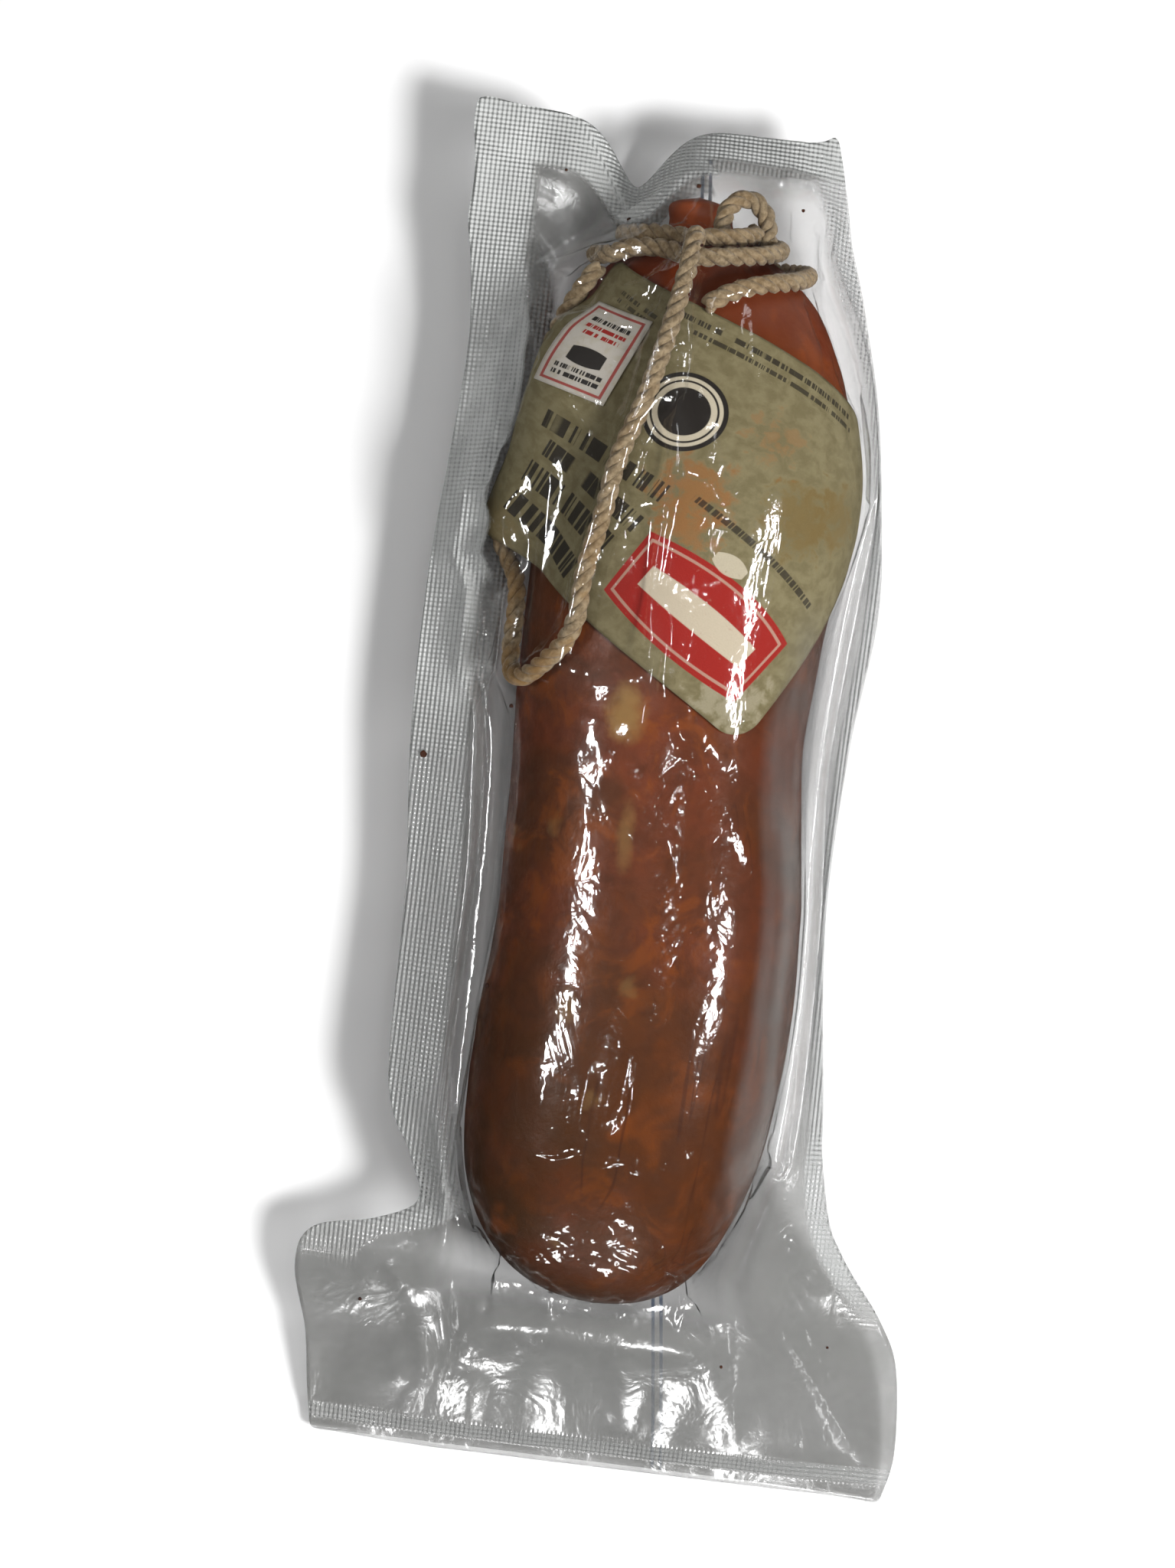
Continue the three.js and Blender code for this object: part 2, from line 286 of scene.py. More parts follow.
# The studio lamps: name, place in metres, width, length, watts, whether a lamp lights
# matt surfaces, and whether glossy ones mirror it.
LAMPS = (
    ("key", (0.56, -0.2, 0.84), 0.24, 0.24, 11.6, True, False),
    ("lamp_left", (-0.98, -0.09, 0.95), 0.22, 0.10, 3.0, True, True),
    ("lamp_right", (0.98, -0.07, 0.9), 0.22, 0.10, 2.2, True, True),
    ("lamp_back", (0.10, 0.30, 1.05), 0.05, 0.03, 0.30, True, True),
    ("lamp_front", (-0.26, -0.2, 1.0), 0.03, 0.04, 0.30, True, True),
    ("lamp_near", (0.22, 0.05, 0.95), 0.02, 0.03, 0.16, True, True),
    ("lamp_corner", (-0.12, 0.26, 1.0), 0.03, 0.05, 0.30, True, True),
    ("lamp_low_right", (0.30, -1.35, 0.33), 0.14, 0.30, 2.8, False, True),
    ("lamp_low_left", (-0.42, -1.30, 0.38), 0.10, 0.30, 2.0, False, True),
    ("lamp_ridge", (0.22, -1.35, 0.95), 0.12, 0.20, 1.9, False, True),
    ("panel", (-0.14, 0.44, 1.1), 0.25, 0.25, 0.5, True, True),
)
LAMPS_AIM = (0, 0, 0.02)
FILL_LIGHT = 0.17
CAMERA_PLACE = (-0.01581, 0.00228, 0.642)
CAMERA_TURN = math.radians(7)
CAMERA_LENS = 72.66
FLOOR_SIZE = 3.0
FLOOR_DROP = 0.0002
# The crumbs on the pouch: x, y and size as a share of the usual crumb.
CRUMBS = (
    (-8.6, 118.9, 1.0),
    (-21.2, 112.0, 0.9),
    (-48.6, 4.2, 1.6),
    (-30.2, -38.4, 0.9),
    (-48.2, -104.7, 0.8),
    (-32.2, 15.4, 0.9),
    (24.2, -108.3, 0.7),
    (45.2, -103.2, 0.6),
    (12.2, 117.8, 0.8),
    (-6.8, 105.0, 0.7),
    (-34.6, 121.2, 0.6),
)
# A film's width and length, near enough for its corners and its noise.
FILM_SIZE = (118, 270)
# The films' rounded corners: right or not, top or not, and the radius.
FILM_CORNERS = ((0, 1, 5), (1, 1, 4), (0, 0, 2), (1, 0, 2))


def spline(rows, steps=40):
    """Points along a smooth line through rows of numbers."""
    known = np.array(rows, float)
    first = 2 * known[0] - known[1]
    last = 2 * known[-1] - known[-2]
    known = np.vstack([first, known, last])
    t = np.linspace(0, 1, steps, endpoint=False)[:, None]
    spans = []
    for a, b, c, d in zip(known, known[1:], known[2:], known[3:]):
        linear = (c - a) * t
        square = (2 * a - 5 * b + 4 * c - d) * t**2
        cube = (3 * b - a - 3 * c + d) * t**3
        spans.append(0.5 * (2 * b + linear + square + cube))
    spans.append(known[-2:-1])
    return np.vstack(spans)


OUTLINE_POINTS = spline(OUTLINE)
AXIS_POINTS = spline(AXIS)
WRAPPED_POINTS = spline(WRAPPED)
LEFT_POINTS = spline(LEFT_EDGE)
RIGHT_POINTS = spline(RIGHT_EDGE)


def smooth(low, high, value):
    """0 below low, 1 above high, and a smooth step between them."""
    t = np.clip((np.asarray(value, float) - low) / (high - low), 0, 1)
    return t * t * (3 - 2 * t)


def lerp(a, b, share):
    return a + (b - a) * share


def points(x, y, z):
    """Three arrays of coordinates as one array of points."""
    return np.stack(np.broadcast_arrays(x, y, z), axis=-1).astype(float)


def half_width(y):
    """The sausage's half-width at station y."""
    return np.maximum(np.interp(y, OUTLINE_POINTS[:, 1], OUTLINE_POINTS[:, 0]), 0)


def axis_at(y):
    """The x and z of the sausage's axis at station y."""
    x = np.interp(y, AXIS_POINTS[:, 1], AXIS_POINTS[:, 0])
    z = np.interp(y, AXIS_POINTS[:, 1], AXIS_POINTS[:, 2])
    return x, z


def skin(y, angle):
    """The point of the skin at station y and an angle from the crest."""
    x, z = axis_at(y)
    radius = half_width(y)
    height = z + radius * SQUASH * np.cos(angle)
    return points(x + radius * np.sin(angle), y, np.maximum(height, REST_GAP))


def normal_of(surface, a, b, step_a, step_b):
    """The unit normal of a surface given as a function of two numbers."""
    along_a = surface(a + step_a, b) - surface(a - step_a, b)
    along_b = surface(a, b + step_b) - surface(a, b - step_b)
    normal = np.cross(along_a, along_b)
    length = np.linalg.norm(normal, axis=-1, keepdims=True)
    return normal / np.maximum(length, 1e-9)


def off_skin(y, angle, distance):
    """The point that stands off the skin by a distance, square to it."""
    y = np.asarray(y, float)
    angle = np.asarray(angle, float)
    normal = normal_of(lambda a, b: skin(b, a), angle, y, 0.02, 0.5)
    return skin(y, angle) + normal * np.asarray(distance, float)[..., None]


def between(corners, u, v):
    """A place between four corners, one number of the pair at a time."""
    lower_left, lower_right, upper_left, upper_right = corners
    return [
        lerp(
            lerp(lower_left[i], lower_right[i], u),
            lerp(upper_left[i], upper_right[i], u),
            v,
        )
        for i in (0, 1)
    ]


def label_surface(u, v):
    """The label's middle; its left side stands off where the twine props it."""
    angle, y = between(LABEL_CORNERS, u, v)
    prop = (1 - smooth(0, 0.24, u)) * (9.3 - 3.2 * smooth(0, 0.3, v))
    prop = prop * (1 - 0.75 * smooth(0.6, 1, v)) * (1 - smooth(0.72, 0.9, v))
    return off_skin(y, np.radians(angle), LABEL_LIFT + prop)


def sticker_surface(u, v):
    """The sticker's middle, laid on the label."""
    a, b = between(STICKER_CORNERS, u, v)
    normal = normal_of(label_surface, a, b, 0.01, 0.01)
    return label_surface(a, b) + normal * STICKER_LIFT


def propping(angle, y):
    """How far the twine and the label's corner prop the front film."""
    left = 1 - smooth(math.radians(-8), math.radians(8), angle)
    beside = smooth(12, 24, y) * (1 - smooth(100, 112, y))
    corner = 4.5 * smooth(36, 46, y) * (1 - smooth(54, 70, y)) * smooth(0.9, 1.3, -angle)
    return (TWINE_ROOM * left + corner) * beside


def sampled(line, v):
    """The row of a sampled line at a share v of its length."""
    place = np.clip(v, 0, 1) * (len(line) - 1)
    rows = np.arange(len(line))
    return [np.interp(place, rows, line[:, i]) for i in range(line.shape[1])]


def notch(x):
    """How much of the dip in the pouch's top edge there is at x."""
    return np.exp(-(((x - NOTCH_X) / NOTCH_WIDTH) ** 2))


def film_course(side, u, v):
    """The middle between the films, how far one bellies away from it, and the run to the edge."""
    across = 2 * u - 1
    y, x, z, width, rise, drop = sampled(WRAPPED_POINTS, v)
    angle = BODY_ANGLE * np.clip(across / BODY_SHARE, -1, 1)
    prop = propping(angle, y) if side > 0 else 0 * angle
    reach = np.maximum(rise if side > 0 else drop, 0) + prop
    px = x + (width + prop) * np.sin(angle)
    py = y + 0 * across
    pz = z + 0 * across
    belly = reach * np.cos(angle)
    outward = np.clip((np.abs(across) - BODY_SHARE) / (1 - BODY_SHARE), 0, None)
    left = sampled(LEFT_POINTS, v)
    right = sampled(RIGHT_POINTS, v)
    edge = [np.where(across < 0, a, b) for a, b in zip(left, right)]
    span = np.hypot(edge[0] - px, edge[2] - pz)
    belly = belly * np.exp(-outward * span / ROOT_LENGTH)
    px = lerp(px, edge[0], outward)
    py = lerp(py, edge[1], outward * outward)
    pz = lerp(pz, edge[2], outward)
    depth = notch(px) * smooth(106, 132, y)
    return points(px, py - NOTCH_DEPTH * depth, pz - 8 * depth), belly, outward, span


def rumple(p, size, seed):
    """Smooth noise from -1 to 1 at points, in lumps of a size."""
    offset = Vector((seed * 17.3, seed * 5.1, seed * 9.7))
    flat = p.reshape(-1, 3) / size
    found = [noise.noise(Vector(q) + offset) for q in flat]
    return np.array(found).reshape(p.shape[:-1])


def folds(p):
    """The height of the long folds pressed into the flange at points."""
    total = np.zeros(p.shape[:-1])
    for x0, y0, x1, y1, width, height in FLANGE_FOLDS:
        run = np.array([x1 - x0, y1 - y0])
        offset = p[..., :2] - np.array([x0, y0])
        share = np.clip((offset @ run) / (run @ run), 0, 1)
        away = np.linalg.norm(offset - share[..., None] * run, axis=-1)
        ends = smooth(0, 0.15, share) * (1 - smooth(0.8, 1, share))
        total += height * ends * np.exp(-((away / width) ** 2))
    return total


# ---------------------------------------------------------------------------
# Meshes.


def new_piece(name, mesh_or_bmesh, node_slot, *nodes):
    """A shown piece in metres, on the part's body, standing for CAD nodes."""
    if isinstance(mesh_or_bmesh, bmesh.types.BMesh):
        mesh = bpy.data.meshes.new(name)
        mesh_or_bmesh.to_mesh(mesh)
        mesh_or_bmesh.free()
    else:
        mesh = mesh_or_bmesh
    mesh.polygons.foreach_set("use_smooth", [True] * len(mesh.polygons))
    piece = bpy.data.objects.new(name, mesh)
    bpy.context.scene.collection.objects.link(piece)
    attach(piece, "root")
    if nodes:
        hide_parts(*nodes)
    return piece


def scratch_object(name, mesh):
    piece = bpy.data.objects.new(name, mesh)
    bpy.context.scene.collection.objects.link(piece)
    return piece


def place_vertices(bm, places):
    """Moves a bmesh's vertices to an array of points in millimetres."""
    for vertex, place in zip(bm.verts, places):
        vertex.co = Vector(place) * MM


def unit_grid(across, along):
    """A grid with its vertices' places as shares from 0 to 1, and a UV map of them."""
    bm = bmesh.new()
    bm.loops.layers.uv.new("UVMap")
    bmesh.ops.create_grid(
        bm, x_segments=across, y_segments=along, size=0.5, calc_uvs=True
    )
    shares = np.array([vertex.co for vertex in bm.verts]) + 0.5
    return bm, np.clip(shares[:, 0], 0, 1), np.clip(shares[:, 1], 0, 1)


def spin_profile(profile, steps):
    """A profile of (radius, y) turned once round the Y axis, closed at its poles."""
    bm = bmesh.new()
    line = [bm.verts.new((radius, y, 0)) for radius, y in profile]
    edges = [bm.edges.new(pair) for pair in zip(line, line[1:])]
    bmesh.ops.spin(
        bm,
        geom=line + edges,
        cent=(0, 0, 0),
        axis=(0, 1, 0),
        angle=2 * math.pi,
        steps=steps,
        use_merge=True,
    )
    bmesh.ops.remove_doubles(bm, verts=bm.verts, dist=1e-4)
    bmesh.ops.recalc_face_normals(bm, faces=bm.faces)
    return bm


def skin_detail(y, angle, radius, settings):
    """How far the real casing lies inside the even skin: dents, lumps and neck pleats."""
    place = points(radius * np.sin(angle), y, radius * np.cos(angle))
    dent = settings.lump_depth / MM * (0.5 + 0.5 * rumple(place, 17, 1))
    dent += 0.35 * settings.lump_depth / MM * (0.5 + 0.5 * rumple(place, 6, 2))
    gathered = smooth(88, 104, y) * (1 - smooth(110, 114, y))
    around = angle + 0.25 * rumple(place, 9, 3)
    pleat = 0.5 + 0.5 * np.cos(around * settings.pleats)
    pleat *= 0.6 + 0.4 * rumple(place, 5, 4)
    dent += settings.pleat_depth / MM * gathered * pleat
    nub = smooth(111, 114, y)
    dent = dent * (1 - nub) + nub * 0.35 * (0.5 + 0.5 * rumple(place, 4, 5))
    return np.clip(dent, 0, 2.4)


def twine_route(rows):
    """Points of a twine laid on the sausage, at an even pitch, in millimetres."""
    table = np.array(rows, float)
    through = off_skin(table[:, 0], np.radians(table[:, 1]), table[:, 2])
    return even_route(through)


def even_route(through, pitch=0.45):
    """A smooth line through points, cut at an even pitch."""
    line = spline(through)
    steps = np.linalg.norm(np.diff(line, axis=0), axis=1)
    distance = np.concatenate([[0], np.cumsum(steps)])
    stations = np.linspace(0, distance[-1], max(8, round(distance[-1] / pitch)))
    return np.stack([np.interp(stations, distance, line[:, i]) for i in range(3)], axis=-1)


def frames_along(line):
    """Two directions square to a line, carried along it without twist."""
    tangents = np.gradient(line, axis=0)
    tangents /= np.linalg.norm(tangents, axis=1, keepdims=True)
    side = np.cross(tangents[0], [0.3, 0.2, 1])
    side /= np.linalg.norm(side)
    sides = []
    for tangent in tangents:
        side = side - tangent * (side @ tangent)
        side /= np.linalg.norm(side)
        sides.append(side)
    sides = np.array(sides)
    return sides, np.cross(tangents, sides)


def tubes_bmesh(tubes, sides):
    """Closed tubes, each given as (points, radii), rolled up from one grid."""
    rings = sum(len(line) for line, _ in tubes)
    bm = bmesh.new()
    bmesh.ops.create_grid(bm, x_segments=sides, y_segments=rings - 1, size=0.5)
    shares = np.array([vertex.co for vertex in bm.verts]) + 0.5
    column = np.rint(shares[:, 0] * sides).astype(int)
    row = np.rint(shares[:, 1] * (rings - 1)).astype(int)
    frames = [frames_along(line) for line, _ in tubes]
    line = np.vstack([line for line, _ in tubes])
    radii = np.concatenate([radii for _, radii in tubes])
    across = np.vstack([frame_pair[0] for frame_pair in frames])
    up = np.vstack([frame_pair[1] for frame_pair in frames])
    owner = np.concatenate([np.full(len(t[0]), i) for i, t in enumerate(tubes)])
    turn = 2 * math.pi * (column % sides) / sides
    outward = np.cos(turn)[:, None] * across[row] + np.sin(turn)[:, None] * up[row]
    place_vertices(bm, line[row] + outward * radii[row][:, None])
    belongs = owner[row]
    joining = [f for f in bm.faces if len({belongs[v.index] for v in f.verts}) > 1]
    bmesh.ops.delete(bm, geom=joining, context="FACES_ONLY")
    loose = [edge for edge in bm.edges if not edge.link_faces]
    bmesh.ops.delete(bm, geom=loose, context="EDGES")
    bmesh.ops.remove_doubles(bm, verts=bm.verts, dist=1e-8)
    open_edges = [edge for edge in bm.edges if edge.is_boundary]
    bmesh.ops.holes_fill(bm, edges=open_edges, sides=0)
    bmesh.ops.recalc_face_normals(bm, faces=bm.faces)
    return bm


def twine_bmesh(route, settings, seed):
    """Three plies laid round each other along a route, with a few loose fibres."""
    rng = random.Random(seed)
    across, up = frames_along(route)
    count = len(route)
    steps = np.linalg.norm(np.diff(route, axis=0), axis=1)
    distance = np.concatenate([[0], np.cumsum(steps)])
    offset = settings.twine_diameter / MM * 0.25
    plies = []
    for ply in range(3):
        turn = 2 * math.pi * (distance / (settings.twine_pitch / MM) + ply / 3)
        away = np.cos(turn)[:, None] * across + np.sin(turn)[:, None] * up
        line = route + offset * away
        radii = offset * (1.04 + 0.10 * rumple(line, 2.2, 20 + seed + ply))
        radii[0] *= 0.75
        radii[-1] *= 0.75
        plies.append((line, radii))
    hairs = []
    for _ in range(int(distance[-1] * settings.fibres)):
        at = rng.randrange(2, count - 3)
        turn = rng.uniform(0, 2 * math.pi)
        outward = math.cos(turn) * across[at] + math.sin(turn) * up[at]
        ahead = route[at + 1] - route[at]
        ahead = ahead / np.linalg.norm(ahead) * rng.uniform(-1, 1)
        root = route[at] + outward * offset * 1.7
        length = rng.uniform(0.6, 1.4)
        hair = [
            root + (outward * 0.45 * t + ahead * t * (1 - 0.2 * t)) * length
            for t in np.linspace(0, 1, 4)
        ]
        hairs.append((np.array(hair), np.array([0.05, 0.045, 0.04, 0.02])))
    bm = tubes_bmesh(plies, 8)
    loose = tubes_bmesh(hairs, 3)
    mesh = bpy.data.meshes.new("loose_fibres")
    loose.to_mesh(mesh)
    loose.free()
    bm.from_mesh(mesh)
    bpy.data.meshes.remove(mesh)
    return bm


def rounded(x, y, size, radii):
    """Pulls a flat grid in at its corners (x end, y end, radius) so that they are round."""
    wide, tall = size
    for corner_x, corner_y, reach in radii:
        from_x = reach - (x if corner_x == 0 else wide - x)
        from_y = reach - (y if corner_y == 0 else tall - y)
        inside = (from_x > 0) & (from_y > 0)
        length = np.maximum(np.hypot(from_x, from_y), 1e-9)
        share = np.maximum(from_x, from_y) / length
        new_x = reach - from_x * share
        new_y = reach - from_y * share
        x = np.where(inside, new_x if corner_x == 0 else wide - new_x, x)
        y = np.where(inside, new_y if corner_y == 0 else tall - new_y, y)
    return x, y


# ---------------------------------------------------------------------------
# Shader helpers.


def add(tree, kind, inputs=(), **fields):
    """A node with its fields set, and its inputs set or linked by name or number."""
    node = tree.nodes.new(kind)
    for name, value in fields.items():
        setattr(node, name, value)
    for key, value in dict(inputs).items():
        if isinstance(value, bpy.types.NodeSocket):
            tree.links.new(value, node.inputs[key])
        else:
            node.inputs[key].default_value = value
    return node


def calc(tree, operation, *values, clamp=False):
    node = add(tree, "ShaderNodeMath", enumerate(values), operation=operation)
    node.use_clamp = clamp
    return node.outputs[0]


def product(tree, first, *others):
    for value in others:
        first = calc(tree, "MULTIPLY", first, value)
    return first


def total(tree, first, *others):
    for value in others:
        first = calc(tree, "ADD", first, value)
    return first


def mixed(tree, share, a, b, blend="MIX"):
    """A colour mixed from two colours by a share."""
    node = tree.nodes.new("ShaderNodeMix")
    node.data_type = "RGBA"
    node.blend_type = blend
    for index, value in ((0, share), (6, a), (7, b)):
        if isinstance(value, bpy.types.NodeSocket):
            tree.links.new(value, node.inputs[index])
        else:
            node.inputs[index].default_value = value
    return node.outputs[2]


def ranged(tree, value, low, high, to_low=0.0, to_high=1.0):
    """A value taken smoothly from one range to another."""
    inputs = {0: value, 1: low, 2: high, 3: to_low, 4: to_high}
    node = add(tree, "ShaderNodeMapRange", inputs, interpolation_type="SMOOTHSTEP")
    return node.outputs[0]


def noise_value(tree, vector, scale, detail=2.0, rough=0.5, distortion=0.0):
    inputs = {
        "Vector": vector,
        "Scale": scale,
        "Detail": detail,
        "Roughness": rough,
        "Distortion": distortion,
    }
    return add(tree, "ShaderNodeTexNoise", inputs).outputs["Fac"]


def stretched(tree, vector, scale, turn=(0, 0, 0), place=(0, 0, 0)):
    inputs = {"Vector": vector, "Scale": scale, "Rotation": turn, "Location": place}
    return add(tree, "ShaderNodeMapping", inputs).outputs[0]


def bumped(tree, height, strength, distance):
    inputs = {"Height": height, "Strength": strength, "Distance": distance}
    return add(tree, "ShaderNodeBump", inputs).outputs[0]


def new_group(name, inputs, outputs):
    """A shader node group with named inputs (name, kind, default) and outputs (name, kind)."""
    tree = bpy.data.node_groups.new(name, "ShaderNodeTree")
    for label, kind, value in inputs:
        socket = tree.interface.new_socket(label, in_out="INPUT", socket_type=kind)
        if value is not None:
            socket.default_value = value
    for label, kind in outputs:
        tree.interface.new_socket(label, in_out="OUTPUT", socket_type=kind)
    start = tree.nodes.new("NodeGroupInput")
    end = tree.nodes.new("NodeGroupOutput")
    return tree, start.outputs, end.inputs


def blotch_group():
    """Soft-edged blotches: a mask from noise of a scale, cut between two levels."""
    if "Blotches" in bpy.data.node_groups:
        return bpy.data.node_groups["Blotches"]
    tree, start, end = new_group(
        "Blotches",
        [
            ("Vector", "NodeSocketVector", None),
            ("Scale", "NodeSocketFloat", 100.0),
            ("Low", "NodeSocketFloat", 0.55),
            ("High", "NodeSocketFloat", 0.65),
        ],
        [("Mask", "NodeSocketFloat")],
    )
    cloud = noise_value(tree, start["Vector"], start["Scale"], 3.0, 0.55, 0.3)
    tree.links.new(ranged(tree, cloud, start["Low"], start["High"]), end["Mask"])
    return tree


def blotches(tree, vector, scale, low, high):
    inputs = {"Vector": vector, "Scale": scale, "Low": low, "High": high}
    node = add(tree, "ShaderNodeGroup", node_tree=blotch_group())
    for name, value in inputs.items():
        if isinstance(value, bpy.types.NodeSocket):
            tree.links.new(value, node.inputs[name])
        else:
            node.inputs[name].default_value = value
    return node.outputs["Mask"]


def bar_group():
    """A turned rectangle with soft edges on a flat map in millimetres."""
    if "Printed bar" in bpy.data.node_groups:
        return bpy.data.node_groups["Printed bar"]
    tree, start, end = new_group(
        "Printed bar",
        [
            ("Vector", "NodeSocketVector", None),
            ("Centre", "NodeSocketVector", (0, 0, 0)),
            ("Half Width", "NodeSocketFloat", 5.0),
            ("Half Height", "NodeSocketFloat", 2.0),
            ("Turn", "NodeSocketFloat", 0.0),
            ("Bulge", "NodeSocketFloat", 0.0),
        ],
        [("Mask", "NodeSocketFloat"), ("Along", "NodeSocketVector")],
    )
    shifted = add(
        tree,
        "ShaderNodeVectorMath",
        {0: start["Vector"], 1: start["Centre"]},
        operation="SUBTRACT",
    ).outputs[0]
    turned = add(
        tree,
        "ShaderNodeVectorRotate",
        {"Vector": shifted, "Angle": start["Turn"]},
        rotation_type="Z_AXIS",
    ).outputs[0]
    parts = add(tree, "ShaderNodeSeparateXYZ", {0: turned}).outputs
    x = calc(tree, "ABSOLUTE", parts[0])
    y = calc(tree, "ABSOLUTE", parts[1])
    share = calc(tree, "DIVIDE", parts[0], start["Half Width"])
    square = product(tree, share, share)
    swell = product(tree, calc(tree, "SUBTRACT", 1.0, square), start["Bulge"])
    tall = total(tree, start["Half Height"], swell)
    inside_x = calc(tree, "SUBTRACT", start["Half Width"], x)
    inside_y = calc(tree, "SUBTRACT", tall, y)
    inside = calc(tree, "MINIMUM", inside_x, inside_y)
    tree.links.new(ranged(tree, inside, -0.08, 0.08), end["Mask"])
    tree.links.new(turned, end["Along"])
    return tree


def bar(tree, vector, centre, half_width_mm, half_height_mm, turn, bulge=0.0):
    """The mask of a printed bar, and its own coordinates."""
    node = add(
        tree,
        "ShaderNodeGroup",
        node_tree=bar_group(),
    )
    tree.links.new(vector, node.inputs["Vector"])
    node.inputs["Centre"].default_value = (centre[0], centre[1], 0)
    node.inputs["Half Width"].default_value = half_width_mm
    node.inputs["Half Height"].default_value = half_height_mm
    node.inputs["Turn"].default_value = math.radians(turn)
    node.inputs["Bulge"].default_value = bulge
    return node.outputs["Mask"], node.outputs["Along"]


def strokes(tree, along, pitch, seed):
    """A row of plain upright strokes of uneven widths, broken into runs, as a mask."""
    across = add(tree, "ShaderNodeSeparateXYZ", {0: along}).outputs[0]
    masks = []
    for scale, level in ((1 / pitch, 0.42), (0.09 / pitch, 0.3)):
        place = add(
            tree,
            "ShaderNodeCombineXYZ",
            {0: product(tree, across, scale), 1: seed * 3.7, 2: scale},
        ).outputs[0]
        inputs = {"Vector": place, "Scale": 1.0, "Detail": 0.0}
        cells = add(tree, "ShaderNodeTexNoise", inputs).outputs["Fac"]
        masks.append(ranged(tree, cells, level - 0.02, level + 0.02))
    return product(tree, *masks)


def disc(tree, vector, centre, radius, edge=0.1):
    """The mask of a printed disc on a flat map in millimetres."""
    offset = add(
        tree,
        "ShaderNodeVectorMath",
        {0: vector, 1: (centre[0], centre[1], 0)},
        operation="DISTANCE",
    ).outputs["Value"]
    return ranged(tree, offset, radius - edge, radius + edge, 1.0, 0.0)


def new_material(name):
    material = bpy.data.materials.new(name)
    material.use_nodes = True
    tree = material.node_tree
    shader = tree.nodes["Principled BSDF"]
    return material, tree, shader


def drive(tree, shader, links=(), **values):
    """Sets a shader's own sockets, and links what varies over the surface."""
    for name, value in values.items():
        shader.inputs[name.replace("_", " ")].default_value = value
    for name, socket in dict(links).items():
        tree.links.new(socket, shader.inputs[name])


def object_vector(tree):
    return tree.nodes.new("ShaderNodeTexCoord").outputs["Object"]


def uv_millimetres(tree, size):
    """A piece's own map, in millimetres of the flat sheet."""
    uv = tree.nodes.new("ShaderNodeTexCoord").outputs["UV"]
    return stretched(tree, uv, (size[0], size[1], 1))


def split_axes(tree, vector):
    """The three coordinates of a vector, as sockets."""
    return add(tree, "ShaderNodeSeparateXYZ", {0: vector}).outputs


# ---------------------------------------------------------------------------
# Materials.


